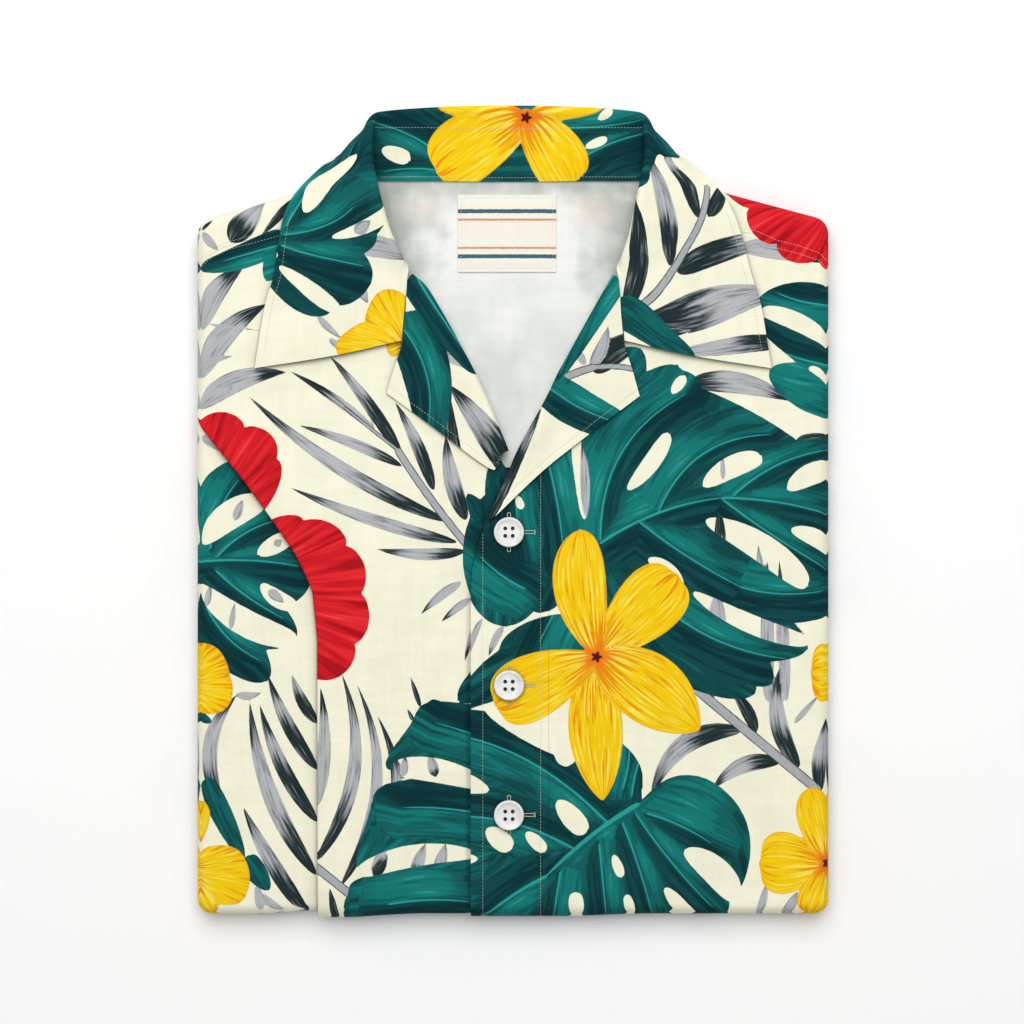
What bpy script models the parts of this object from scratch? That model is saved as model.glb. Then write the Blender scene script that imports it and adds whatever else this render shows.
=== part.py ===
"""Folded short-sleeved camp-collar shirt, lying face up. Z is up, the collar points to +Y.

The wearer's right is at -X. Lengths below are in millimetres and become metres as each mesh
is made. The underside rests on z = 0.
"""
import math

import bpy
import numpy as np

MM = 0.001
SEAM_GAP = 0.3
CLOTH = 1.0             # wall of a single panel
FACED = 1.4             # wall of a faced piece: collar and lapels
PACK_HEIGHT = 18.0      # folded thickness at its edges, before the crown of the cloth
CROWN = 1.0             # rise of the middle over the edges
EDGE_REACH = 6.0        # how far the rounded edge reaches outward
EDGE_DROP = PACK_HEIGHT / 2
EDGE_QUARTER = 11.9     # arc of a quarter of that rounded edge
SIDE_WRAP = 100.0       # degrees that the panels turn round the sides
HEM_WRAP = 125.0        # degrees that they turn round the bottom fold

# The pack's outline from above: x, y and corner radius of each corner.
HALF_WIDTH = 158.0
BOTTOM = -201.3
OUTLINE = (
    (-HALF_WIDTH, BOTTOM, 7.6),
    (HALF_WIDTH, BOTTOM, 7.6),
    (HALF_WIDTH, 145.7, 9.0),
    (93.0, 163.0, 60.0),
    (-97.0, 163.0, 60.0),
    (-HALF_WIDTH, 145.1, 10.0),
)
CROWN_HALF_WIDTH = 152.0    # the crown fades out this far from the middle
CROWN_CENTRE_Y = -20.0
CROWN_HALF_LENGTH = 180.0
TOP_COLUMNS = 16        # columns of points across a yoke and the left front
HEM_ROWS = 7            # rows of points round the bottom fold
EDGE_SPACING = 3.0      # relative spacing of the columns round the sides and on top
TOP_SPACING = 20.0
SPREAD = 1.4            # how far past the wrap a panel's flat grid starts

# Folded edge of the tuck down the right front: y and x of the edge.
TUCK_EDGE = (
    (-225.0, -96.7), (-63.7, -96.8), (-49.3, -98.2), (-39.7, -99.2), (-32.0, -102.4),
    (-21.0, -107.8), (-8.4, -116.3), (1.7, -123.4), (14.6, -132.8), (25.3, -141.2),
    (39.0, -152.5), (47.0, -159.0), (54.0, -161.0), (72.0, -156.0), (147.0, -132.0),
)
TUCK_UNDER = 12.0       # how far the tuck's folds lie over each other
TUCK_RADIUS = 0.85      # bend of its folds, at the middle of the cloth
TUCK_FADES = (-20.0, 60.0)   # y where the tuck starts to fade, and where it ends
TUCK_SETTLE = 46.0      # width over which the upper layer comes back down
TUCK_SINK = 1.6         # how far its layers press into the bottom fold
TUCK_SINK_LEFT = (-125.0, -100.0)   # x over which that starts
TUCK_SINK_RIGHT = (-75.0, -35.0)    # x over which it ends
TUCK_SINK_ROWS = (186.0, 198.0)     # how far below the middle it starts, and where it is whole
FRONT_RIGHT_BORDER = 2.0            # x of the right front's own border, under the placket
FRONT_RIGHT_BORDER_TOP = 22.0       # y up to which that border shows no lapel

# Yoke seam on each side: distance from the middle and y.
YOKE_SEAM_RIGHT = ((60.0, 146.0), (90.0, 143.0), (116.0, 139.5), (128.2, 136.0), (137.0, 133.8),
                   (144.0, 131.4), (149.5, 128.6), (156.5, 123.8), (176.0, 119.0))
YOKE_SEAM_LEFT = ((60.0, 146.0), (90.0, 142.5), (112.5, 139.3), (120.5, 138.1), (131.4, 133.2),
                  (141.0, 130.8), (152.0, 127.2), (156.8, 124.1), (176.0, 119.0))

# Inner border of the fronts, hidden by the lapels and the collar: y and distance from the middle.
FRONT_BORDER = ((25.0, 6.0), (40.0, 19.0), (57.0, 27.5), (77.0, 37.5), (100.0, 51.0), (112.0, 59.0),
                (122.0, 67.0), (147.0, 78.0))

PLACKET_EDGE = ((-225.0, -21.0), (-80.0, -21.0), (-46.0, -20.7), (-25.0, -17.6), (-5.0, -13.2),
                (12.0, -10.0))
PLACKET_SEAM = 17.75
PLACKET_TOP = (2.0, 25.0)   # y of its top at the free edge and at the seam, under the lapel
LEFT_LIFT = 1.3         # rise of the left front where it laps the right one
LIFT_SPAN = (22.0, 70.0)

# The neck lies a little to the wearer's right of the buttons.
NECK_SHIFT = -2.2
NECK_SHIFT_SPAN = (110.0, 160.0)

# Step of the lower layers at the neck: its depth, and where it starts and is whole.
NECK_STEP = 16.0
NECK_STEP_WIDTH = (96.0, 112.0)
NECK_STEP_HEIGHT = (7.2, 8.2)
NECK_STEP_RAMP = (60.0, 150.0)

# Hollow of the neck: y, half width at the floor. The back of the shirt shows in it.
HOLLOW = ((12.0, 5.0), (40.0, 24.0), (80.0, 45.0), (120.0, 68.0), (150.0, 86.0), (176.0, 92.0))
HOLLOW_FLOOR = 10.4
HOLLOW_FLARE = 5.0      # how much wider it is at the top
HOLLOW_POINT = 13.0     # y below which its sides are its lowest end
HOLLOW_SLOPE = 3.0      # how much further down that end starts at the top
BACK_HALF_WIDTH = 70.0  # at the neck seam
BACK_ENDS = (22.0, 164.2)   # y of its lowest row and of its neck seam
BACK_RISE = 0.5         # how much it rises towards both of its ends
BACK_RISE_TOP = (130.0, 163.0)
BACK_RISE_FOOT = (20.0, 70.0)
BACK_WAVE = 0.4         # height of the soft waves across it
BACK_WAVE_LENGTH = 26.0
FRONT_TOP = 147.0       # where the fronts' rows end, before they bend to the yoke seam
BEND_STARTS = 60.0      # y from which those rows bend
YOKE_INNER = 78.0       # from the middle to a yoke's inner border, under the collar

# Lapels: the roll line, then the gorge and the short edge, then the lower edge (x, y).
LAPEL_RIGHT_ROLL = ((-50.2, 117.6), (-41.5, 108.6), (-23.6, 77.0), (-13.9, 57.0), (-2.6, 30.0))
LAPEL_RIGHT_TOP = ((-51.8, 118.6), (-52.8, 112.0), (-53.7, 98.0), (-55.3, 84.2), (-59.4, 71.0),
                   (-62.8, 58.8))
LAPEL_RIGHT_LOW = ((-62.8, 58.8), (-40.8, 42.8), (-12.0, 21.6), (-6.4, 24.8))
LAPEL_LEFT_ROLL = ((50.0, 117.2), (40.0, 99.5), (23.5, 69.6), (16.8, 55.8), (0.5, 25.9), (-6.0, 10.8),
                   (-12.4, -3.2))
LAPEL_LEFT_TOP = ((51.6, 118.6), (52.7, 112.0), (53.6, 98.0), (55.2, 84.4), (59.2, 71.0), (62.9, 57.4))
LAPEL_LEFT_LOW = ((62.9, 57.4), (41.5, 41.2), (15.8, 21.0), (-6.5, -0.2), (-9.4, -2.6))
LAPEL_BEND = 1.9        # bend of the roll, at the middle of its wall
LAPEL_PUFF = 2.6        # how much the lapel rises beside the roll
ROLL_TUCK = 4.0         # how far the lapel's wall goes on under the roll
ROLL_STARTS = (18.0, 48.0)  # y where the lapels begin to roll, and where they roll fully

# Right half of the collar from the tip to the middle of the back. roll is the line where the
# collar turns over, foot its neck seam, brow the highest line of the fall, and edge its outer edge.
COLLAR_COLUMNS = ("roll_x", "roll_y", "roll_z", "foot_x", "foot_y", "foot_z",
                  "brow_x", "brow_y", "brow_z", "edge_x", "edge_y", "edge_z")
COLLAR_HALF = (
    (56.6, 84.6, 19.6, 57.0, 84.6, 19.5, 88.0, 77.6, 20.2, 128.4, 71.2, 19.4),
    (55.2, 99.0, 20.2, 56.0, 99.0, 19.9, 86.0, 93.0, 20.7, 123.4, 101.5, 19.4),
    (53.8, 113.0, 21.2, 55.0, 113.0, 20.4, 84.0, 113.0, 21.5, 119.4, 115.0, 19.4),
    (54.2, 123.0, 22.6, 58.5, 123.5, 19.8, 84.0, 124.0, 22.4, 117.6, 122.0, 19.4),
    (59.6, 138.0, 24.6, 69.0, 139.5, 19.4, 86.0, 137.0, 23.6, 115.0, 136.0, 19.3),
    (62.6, 150.0, 25.4, 75.0, 151.5, 19.6, 90.0, 147.5, 23.8, 111.0, 149.0, 19.6),
    (66.0, 165.0, 25.6, 79.0, 161.0, 18.4, 91.5, 160.0, 22.8, 104.0, 160.5, 17.2),
    (68.6, 180.0, 24.2, 77.0, 166.4, 15.0, 84.0, 174.4, 19.6, 88.6, 176.0, 9.4),
    (68.6, 190.6, 21.0, 70.0, 165.8, 13.6, 78.0, 184.2, 14.2, 79.0, 179.0, 5.4),
    (67.0, 196.8, 18.4, 63.0, 165.3, 13.1, 69.0, 187.4, 8.6, 68.0, 173.0, 3.4),
    (60.0, 199.0, 16.4, 56.0, 165.2, 12.9, 60.0, 187.0, 6.2, 58.0, 166.5, 3.0),
    (40.0, 201.0, 14.0, 38.0, 165.2, 12.8, 40.0, 188.0, 4.4, 38.0, 160.5, 2.6),
    (20.0, 202.0, 13.0, 19.0, 164.9, 12.8, 20.0, 188.0, 4.2, 19.0, 159.5, 2.6),
    (0.0, 202.2, 12.8, 0.0, 164.8, 12.8, 0.0, 188.0, 4.2, 0.0, 159.0, 2.6),
)
COLLAR_BEND = 2.3       # bend of the roll, at the middle of its wall
STAND_SPAN = (1.6, 9.0)     # height of the stand at which the roll starts, and where it is whole
COLLAR_STEPS = 2        # sections between two rows of the table
COLLAR_PULL = 0.33      # reach of its curves' handles, as a share of their length
ON_PACK = (140.0, 160.0)    # y over which the collar leaves the top of the pack

# Rings below the panels' border: degrees round the edge, height at the sides, height at the bottom.
LAYER_PROFILE = (
    (92.0, -1.9, -3.6), (99.0, -2.9, -3.6), (104.5, -0.8, -3.6), (114.0, -0.1, -3.4),
    (121.0, -0.6, -3.0), (124.0, -3.0, -2.6), (128.0, -0.7, -1.0), (136.0, 0.2, -0.1),
    (147.0, -0.3, 0.0), (150.0, -2.4, 0.0), (154.0, -0.4, 0.0), (166.0, 0.3, 0.0),
)

LABEL = (-27.5, 21.5, 119.75, 158.25)   # x from, x to, y from, y to
BUTTON_PLACES = ((-2.0, -10.25), (-2.0, -86.25), (-2.0, -150.75))
BUTTON_RADIUS = 7.5
BUTTON_HEIGHT = 2.6
BUTTON_RIM = 1.5
BUTTON_DISH = 0.7
BUTTON_HOLE = 0.95
HOLE_SPACING = 1.55     # from the button's middle to a hole, along X and along Y

COLOURS = {
    "cream": (0.93, 0.92, 0.78),
    "wrong_side": (0.86, 0.88, 0.88),
    "teal": (0.02, 0.20, 0.18),
    "woven": (0.87, 0.84, 0.76),
    "shell": (0.90, 0.90, 0.89),
}


def clear_scene():
    for thing in list(bpy.data.objects):
        bpy.data.objects.remove(thing, do_unlink=True)


def material(name, colour, roughness):
    made = bpy.data.materials.new(name)
    made.use_nodes = True
    shader = made.node_tree.nodes["Principled BSDF"]
    shader.inputs["Base Color"].default_value = (*colour, 1.0)
    shader.inputs["Roughness"].default_value = roughness
    shader.inputs["Metallic"].default_value = 0.0
    return made


def ease(value, start, end):
    """0 before start, 1 past end, and smooth between them."""
    share = np.clip((np.asarray(value, float) - start) / (end - start), 0.0, 1.0)
    return share * share * (3.0 - 2.0 * share)


def smooth_line(points, count):
    """Evenly spaced points along a smooth curve through the given ones."""
    points = np.array(points, float)
    padded = np.vstack([2 * points[0] - points[1], points, 2 * points[-1] - points[-2]])
    dense = []
    for before, start, end, after in zip(padded, padded[1:], padded[2:], padded[3:]):
        for t in np.linspace(0.0, 1.0, 12, endpoint=False):
            dense.append(0.5 * (2 * start + (end - before) * t
                                + (2 * before - 5 * start + 4 * end - after) * t ** 2
                                + (3 * start - before - 3 * end + after) * t ** 3))
    dense = np.array(dense + [points[-1]])
    travel = np.concatenate([[0.0], np.cumsum(np.linalg.norm(np.diff(dense, axis=0), axis=1))])
    wanted = np.linspace(0.0, travel[-1], count)
    return np.stack([np.interp(wanted, travel, dense[:, k]) for k in range(dense.shape[1])], axis=1)


def table_value(table, where):
    """The second column of a table, read between its rows by its first."""
    rows = np.array(table, float)
    return np.interp(where, rows[:, 0], rows[:, 1])


def rounded_outline(inset, arc_steps=6, edge_steps=1):
    """The pack's outline moved inward, as points counter-clockwise."""
    corners = np.array([row[:2] for row in OUTLINE])
    radii = [max(row[2] - inset, 0.8) for row in OUTLINE]
    sides = np.roll(corners, -1, axis=0) - corners
    sides /= np.linalg.norm(sides, axis=1)[:, None]
    inward = np.stack([-sides[:, 1], sides[:, 0]], axis=1)
    points = []
    for k, corner in enumerate(corners):
        before, after = inward[k - 1], inward[k]
        half = (before + after) / (1.0 + before @ after)
        centre = corner + half * (inset + radii[k])
        start, end = math.atan2(*-before[::-1]), math.atan2(*-after[::-1])
        turn = (end - start) % (2 * math.pi)
        for step in range(arc_steps + 1):
            angle = start + turn * step / arc_steps
            points.append(centre + radii[k] * np.array([math.cos(angle), math.sin(angle)]))
    if edge_steps > 1:
        points = divide_long_sides(points, edge_steps)
    return np.array(points)


def divide_long_sides(points, parts):
    divided = []
    for start, end in zip(points, points[1:] + points[:1]):
        steps = parts if np.linalg.norm(end - start) > 40.0 else 1
        divided += [start + (end - start) * k / steps for k in range(steps)]
    return divided


INNER_LINE = rounded_outline(EDGE_REACH, arc_steps=10)


def edge_frame(flat):
    """Nearest point of the inner line, the outward direction there, and the distance outside it."""
    starts, ends = INNER_LINE, np.roll(INNER_LINE, -1, axis=0)
    along = ends - starts
    offset = flat[:, None, :] - starts[None]
    share = np.clip((offset * along).sum(-1) / (along * along).sum(-1), 0.0, 1.0)
    nearest = starts + share[..., None] * along
    away = flat[:, None, :] - nearest
    distance = np.linalg.norm(away, axis=-1)
    best = distance.argmin(axis=1)
    rows = np.arange(len(flat))
    outside = (along[:, 0] * offset[..., 1] - along[:, 1] * offset[..., 0]).min(axis=1) < 0.0
    excess = np.where(outside, distance[rows, best], 0.0)
    outward = away[rows, best] / np.maximum(distance[rows, best], 1e-9)[:, None]
    return nearest[rows, best], outward, excess


def wrap_limit(outward):
    """How far the cloth goes past the inner line: further at the bottom fold."""
    side = EDGE_QUARTER * SIDE_WRAP / 90.0
    hem = EDGE_QUARTER * HEM_WRAP / 90.0
    return side + (hem - side) * ease(-outward[:, 1], 0.2, 0.8)


def place(flat, height):
    """Carry points of the flat cloth onto the pack, raised along its surface's normal."""
    flat = np.asarray(flat, float)
    shape = flat.shape[:-1]
    flat = flat.reshape(-1, 2)
    height = np.broadcast_to(height, shape).reshape(-1)
    nearest, outward, excess = edge_frame(flat)
    limit = wrap_limit(outward)
    excess = excess / (1.0 + (excess / limit) ** 4) ** 0.25
    angle = excess / EDGE_QUARTER * math.pi / 2
    normal = np.stack([np.sin(angle) / EDGE_REACH, np.cos(angle) / EDGE_DROP], axis=1)
    normal /= np.linalg.norm(normal, axis=1)[:, None]
    base = np.where((excess > 0.0)[:, None], nearest, flat)
    rise = crown(base) * np.cos(np.minimum(angle, math.pi / 2)) ** 2
    reach = EDGE_REACH * np.sin(angle) + height * normal[:, 0]
    level = EDGE_DROP * (1.0 + np.cos(angle)) + height * normal[:, 1] + rise
    placed = np.concatenate([base + outward * reach[:, None] * (excess > 0.0)[:, None],
                             level[:, None]], axis=1)
    return placed.reshape(*shape, 3)


def crown(flat):
    across = np.clip(1.0 - (flat[:, 0] / CROWN_HALF_WIDTH) ** 2, 0.0, 1.0)
    along = np.clip(1.0 - ((flat[:, 1] - CROWN_CENTRE_Y) / CROWN_HALF_LENGTH) ** 2, 0.0, 1.0)
    return CROWN * across * along


def solid(name, points, faces, look):
    mesh = bpy.data.meshes.new(name)
    mesh.from_pydata([tuple(p * MM) for p in points], [], faces)
    mesh.validate()
    made = bpy.data.objects.new(name, mesh)
    bpy.context.collection.objects.link(made)
    mesh.materials.append(look)
    mesh.shade_smooth()
    mesh.set_sharp_from_angle(angle=math.radians(40))
    return made


def wall_between(name, upper, lower, look):
    """A closed wall between two grids of points of the same shape."""
    rows, columns = upper.shape[:2]
    points = np.concatenate([upper.reshape(-1, 3), lower.reshape(-1, 3)])
    index = np.arange(rows * columns).reshape(rows, columns)
    under = index + rows * columns
    faces = []
    for i in range(rows - 1):
        for j in range(columns - 1):
            faces.append((index[i, j], index[i, j + 1], index[i + 1, j + 1], index[i + 1, j]))
            faces.append((under[i, j], under[i + 1, j], under[i + 1, j + 1], under[i, j + 1]))
    rim = list(index[0]) + list(index[1:, -1]) + list(index[-1, -2::-1]) + list(index[-2:0:-1, 0])
    for start, end in zip(rim, rim[1:] + rim[:1]):
        faces.append((end, start, start + rows * columns, end + rows * columns))
    return solid(name, points, [tuple(int(k) for k in face) for face in faces], look)


def grid_normals(grid):
    along = np.gradient(grid, axis=0)
    across = np.gradient(grid, axis=1)
    normals = np.cross(across, along)
    return normals / np.maximum(np.linalg.norm(normals, axis=2), 1e-9)[..., None]


def wall_about(name, middle, thickness, look):
    """A closed wall whose middle surface is the given grid."""
    normals = grid_normals(middle)
    return wall_between(name, middle + normals * thickness / 2, middle - normals * thickness / 2, look)


def front_rows(*stations):
    """Positions along Y from the bottom wrap up: pairs of a y and the steps that lead to it."""
    start = BOTTOM + EDGE_REACH
    wrap = SPREAD * EDGE_QUARTER * HEM_WRAP / 90.0
    rows = list(np.linspace(start - wrap, start, HEM_ROWS))
    for y, steps in stations:
        rows += list(np.linspace(rows[-1], y, steps + 1)[1:])
    return np.array(rows)


def side_border():
    """Distance from the middle to a panel's wrapped border in the flat cloth."""
    return HALF_WIDTH - EDGE_REACH + SPREAD * EDGE_QUARTER * SIDE_WRAP / 90.0


def spread(start, end, count):
    """Positions across the cloth: close together round the side edges, wider on top."""
    dense = np.linspace(start, end, 200)
    spacing = np.where(np.abs(dense) > HALF_WIDTH - 1.4 * EDGE_REACH, EDGE_SPACING, TOP_SPACING)
    travel = np.concatenate([[0.0], np.cumsum(0.5 / spacing[1:] + 0.5 / spacing[:-1])])
    return np.interp(np.linspace(0.0, travel[-1], count), travel, dense)


def tuck_section(edge_x, strength, slant):
    """The tuck's fold as x and height: to the right, back over itself, and to the right again."""
    turn_steps, flat_steps = 5, 2
    turn = math.pi * TUCK_RADIUS / turn_steps
    run = (0.4 + TUCK_UNDER * float(ease(strength, 0.5, 1.0))) / flat_steps
    angles = list(np.linspace(0.0, 1.0, turn_steps + 1)[1:] - 0.5 / turn_steps)
    angles += [1.0] * flat_steps
    angles += list(1.0 - np.linspace(0.0, 1.0, turn_steps + 1)[1:] + 0.5 / turn_steps)
    lengths = [turn] * turn_steps + [run] * flat_steps + [turn] * turn_steps
    headings = np.array(angles) * math.pi * min(2.0 * strength, 1.0)
    x = np.concatenate([[0.0], np.cumsum(np.cos(headings) * lengths)])
    h = np.concatenate([[0.0], np.cumsum(np.sin(headings) * lengths)])
    over = x[turn_steps + flat_steps:]
    return (x - over.min()) * slant + edge_x, h


def front_right():
    """The wearer's right front, with its tuck."""
    rows = front_rows((-66.0, 4), (8.0, 7), (TUCK_FADES[1], 11), (FRONT_TOP, 5))
    border = -side_border()
    edges = table_value(TUCK_EDGE, rows)
    slants = np.hypot(1.0, np.gradient(edges, rows))
    grid = []
    for y, edge, slant in zip(rows, edges, slants):
        share = max(y - BEND_STARTS, 0.0) / (FRONT_TOP - BEND_STARTS)
        strength = float(1.0 - ease(y, *TUCK_FADES))
        fold_x, fold_h = tuck_section(edge, strength, slant)
        hidden = y < FRONT_RIGHT_BORDER_TOP
        inner = FRONT_RIGHT_BORDER if hidden else -table_value(FRONT_BORDER, y)
        start = spread(border, fold_x[0], 10)[:-1]
        end = spread(fold_x[-1], inner, 8)[1:]
        fall = 1.0 - ease(end, fold_x[-1] + TUCK_UNDER, fold_x[-1] + TUCK_UNDER + TUCK_SETTLE)
        x = np.concatenate([start, fold_x, end])
        h = np.concatenate([np.zeros(len(start)), fold_h, fold_h[-1] * fall])
        seam = table_value(YOKE_SEAM_RIGHT, np.abs(x)) - 1.5 * SEAM_GAP
        lifted = y + (seam - FRONT_TOP) * share ** 1.5
        grid.append(np.stack([x, lifted, h - pressed(x, y) - CLOTH / 2], axis=1))
    grid = np.array(grid)
    return wall_about("front_right", place_raised(grid), CLOTH, LOOKS["cream"])


def pressed(x, y):
    """How far the tuck's layers sink where they go round the bottom fold."""
    beside = ease(x, *TUCK_SINK_LEFT) * (1.0 - ease(x, *TUCK_SINK_RIGHT))
    return TUCK_SINK * beside * ease(-y, *TUCK_SINK_ROWS)


def place_raised(grid):
    return place(grid[..., :2], grid[..., 2])


def left_lift(x):
    return LEFT_LIFT * (1.0 - ease(x, *LIFT_SPAN))


def front_left():
    """The wearer's left front, which laps the right one; the placket is sewn to it."""
    rows = front_rows((10.0, 5), (FRONT_TOP, 10))
    grid = []
    for y in rows:
        share = max(y - BEND_STARTS, 0.0) / (FRONT_TOP - BEND_STARTS)
        inner = max(PLACKET_SEAM + SEAM_GAP / 2, float(table_value(FRONT_BORDER, y)))
        x = spread(inner, side_border(), TOP_COLUMNS)
        seam = table_value(YOKE_SEAM_LEFT, x) - 1.5 * SEAM_GAP
        lifted = y + (seam - FRONT_TOP) * share ** 1.5
        grid.append(np.stack([x, lifted, left_lift(x) - CLOTH / 2], axis=1))
    return wall_about("front_left", place_raised(np.array(grid)), CLOTH, LOOKS["cream"])


def placket():
    """The folded strip down the left front's edge, which holds the buttonholes."""
    columns = np.linspace(0.0, 1.0, 6)
    rows = front_rows((-60.0, 4), (0.0, 6))
    grid = []
    for y in rows:
        share = 1.0 - y / rows[0]
        edge = table_value(PLACKET_EDGE, y)
        seam = PLACKET_SEAM - SEAM_GAP / 2
        x = edge + (seam - edge) * columns
        head = PLACKET_TOP[0] + (PLACKET_TOP[1] - PLACKET_TOP[0]) * columns
        lifted = y + head * share ** 6
        grid.append(np.stack([x, lifted, np.full(len(x), LEFT_LIFT - CLOTH / 2)], axis=1))
    return wall_about("placket", place_raised(np.array(grid)), CLOTH, LOOKS["teal"])


def yoke(name, side, seam_table):
    """The shoulder's panel: from the front seam round the shoulder fold."""
    across = spread(YOKE_INNER, side_border(), TOP_COLUMNS)[::-1]
    grid = []
    for share in np.linspace(0.0, 1.0, 12)[::side]:
        seam = table_value(seam_table, across) + SEAM_GAP
        crest = shoulder_line(across * side)
        y = seam + (crest - seam) * share
        grid.append(np.stack([across * side, y, np.full(len(y), -CLOTH / 2)], axis=1))
    grid = np.array(grid)[:, ::-1]
    return wall_about(name, place_raised(grid), CLOTH, LOOKS["cream"])


def shoulder_line(x):
    """y of a yoke's wrapped border in the flat cloth."""
    slope = np.array([row[:2] for row in OUTLINE[2:]])
    crest = np.interp(x, slope[::-1, 0], slope[::-1, 1])
    return crest - EDGE_REACH + SPREAD * EDGE_QUARTER * SIDE_WRAP / 90.0


def folded_layers():
    """Everything under the fronts as one rounded body, with the layers' edges at its sides."""
    top = -CLOTH - 3.5 * SEAM_GAP
    around = rounded_outline(EDGE_REACH, arc_steps=4, edge_steps=5)
    following = np.roll(around, -1, axis=0) - np.roll(around, 1, axis=0)
    outward = np.stack([following[:, 1], -following[:, 0]], axis=1)
    outward /= np.linalg.norm(outward, axis=1)[:, None]
    hem = ease(-outward[:, 1], 0.05, 0.35)
    rings = [place(around * scale, top) for scale in (0.25, 0.55, 0.8)]
    rings.append(place(around, top - TUCK_SINK * hem))
    rings += [edge_ring(around, outward, angle, top - SEAM_GAP - TUCK_SINK * hem)
              for angle in (30.0, 55.0, 75.0)]
    for angle, side_height, hem_height in LAYER_PROFILE:
        height = side_height + (hem_height - side_height) * hem
        rings.append(step_at_neck(edge_ring(around, outward, angle, height)))
    rings.append(step_at_neck(edge_ring(around, outward, 180.0, np.zeros(len(around)))))
    made = solid("folded_layers", *stack_rings(rings), LOOKS["wrong_side"])
    cut(made, neck_hollow())
    return made


def edge_ring(around, outward, angle, height):
    """One ring of the rounded edge, at an angle from its top and raised by a height."""
    turn = math.radians(angle)
    across, upward = math.sin(turn) / EDGE_REACH, math.cos(turn) / EDGE_DROP
    size = math.hypot(across, upward)
    reach = EDGE_REACH * math.sin(turn) + height * across / size
    level = EDGE_DROP * (1.0 + math.cos(turn)) + height * upward / size
    level = level + crown(around) * math.cos(min(turn, math.pi / 2)) ** 2
    return np.concatenate([around + outward * reach[:, None], np.maximum(level, 0.0)[:, None]], axis=1)


def step_at_neck(ring):
    """The lower layers end short of the neck, which leaves room for the collar's fall."""
    inside = 1.0 - ease(np.abs(ring[:, 0] - NECK_SHIFT), *NECK_STEP_WIDTH)
    below = 1.0 - ease(ring[:, 2], *NECK_STEP_HEIGHT)
    moved = ring.copy()
    moved[:, 1] -= NECK_STEP * inside * below * ease(ring[:, 1], *NECK_STEP_RAMP)
    return moved


def stack_rings(rings):
    count = len(rings[0])
    points = np.concatenate(rings + [rings[0].mean(axis=0)[None]])
    centre = len(points) - 1
    faces = []
    for level in range(len(rings) - 1):
        for k in range(count):
            here, after = level * count + k, level * count + (k + 1) % count
            faces.append((here, here + count, after + count, after))
    faces += [(centre, k, (k + 1) % count) for k in range(count)]
    last = (len(rings) - 1) * count
    faces.append(tuple(last + k for k in reversed(range(count))))
    return points, faces


def neck_hollow():
    """Cutter for the hollow in which the inside of the back shows."""
    side = smooth_line(HOLLOW, 9)
    floor = np.concatenate([side[:, ::-1], side[::-1, ::-1] * (-1.0, 1.0)])
    flare = np.where(floor[:, :1] > 0, HOLLOW_FLARE, -HOLLOW_FLARE)
    top = floor + np.concatenate([flare, np.zeros_like(flare)], axis=1)
    top[:, 1] -= np.where(floor[:, 1] < HOLLOW_POINT, HOLLOW_SLOPE, 0.0)
    shift = np.array([NECK_SHIFT / 2, 0.0])
    low = np.column_stack([floor + shift, np.full(len(floor), HOLLOW_FLOOR)])
    high = np.column_stack([top + shift, np.full(len(top), PACK_HEIGHT + 8.0)])
    count = len(low)
    faces = [tuple(range(count))[::-1], tuple(range(count, 2 * count))]
    faces += [(k, (k + 1) % count, (k + 1) % count + count, k + count) for k in range(count)]
    cutter = solid("neck_hollow_cutter", np.concatenate([low, high]), faces, LOOKS["wrong_side"])
    cutter.hide_render = True
    cutter.display_type = "WIRE"
    return cutter


def cut(target, cutter):
    boolean = target.modifiers.new("cut", "BOOLEAN")
    boolean.operation = "DIFFERENCE"
    boolean.solver = "EXACT"
    boolean.object = cutter


def back_level(x, y):
    """Height of the back's inside surface, which shows in the neck."""
    rise = BACK_RISE * (ease(y, *BACK_RISE_TOP) + 1.0 - ease(y, *BACK_RISE_FOOT))
    wave = BACK_WAVE * np.cos(x / BACK_WAVE_LENGTH) ** 2
    return HOLLOW_FLOOR + SEAM_GAP + CLOTH + rise + wave


def back():
    """The inside of the back, from the opening's lowest point to the neck seam."""
    lengths = np.linspace(*BACK_ENDS, 15)
    widths = np.minimum(table_value(HOLLOW, lengths) - 3.0, BACK_HALF_WIDTH)
    upper = []
    for y, half in zip(lengths, widths):
        x = np.linspace(-half, half, 13) + NECK_SHIFT / 2
        upper.append(np.stack([x, np.full(13, y), back_level(x, y)], axis=1))
    upper = np.array(upper)
    return wall_between("back", upper, upper - (0.0, 0.0, CLOTH), LOOKS["wrong_side"])


def label():
    """The woven label on the back, left plain."""
    x = np.linspace(LABEL[0], LABEL[1], 7)
    lower = np.array([np.stack([x, np.full(7, y), back_level(x, y) + SEAM_GAP], axis=1)
                      for y in np.linspace(LABEL[2], LABEL[3], 6)])
    return wall_between("label", lower + (0.0, 0.0, CLOTH), lower, LOOKS["woven"])


def rolled_chain(strength, bend, tail, steps):
    """An edge that turns under: distance outward and drop of its points, from the sheet on."""
    arc = math.pi * bend * (0.2 + 0.8 * strength)
    headings = math.pi * strength * (np.arange(steps) + 0.5) / steps
    lengths = np.full(steps, arc / steps)
    headings = np.append(headings, math.pi * strength)
    lengths = np.append(lengths, max(tail * strength, 0.4))
    outward = np.concatenate([[0.0], np.cumsum(np.cos(headings) * lengths)])
    drop = np.concatenate([[0.0], np.cumsum(np.sin(headings) * lengths)])
    return outward, drop


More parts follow.
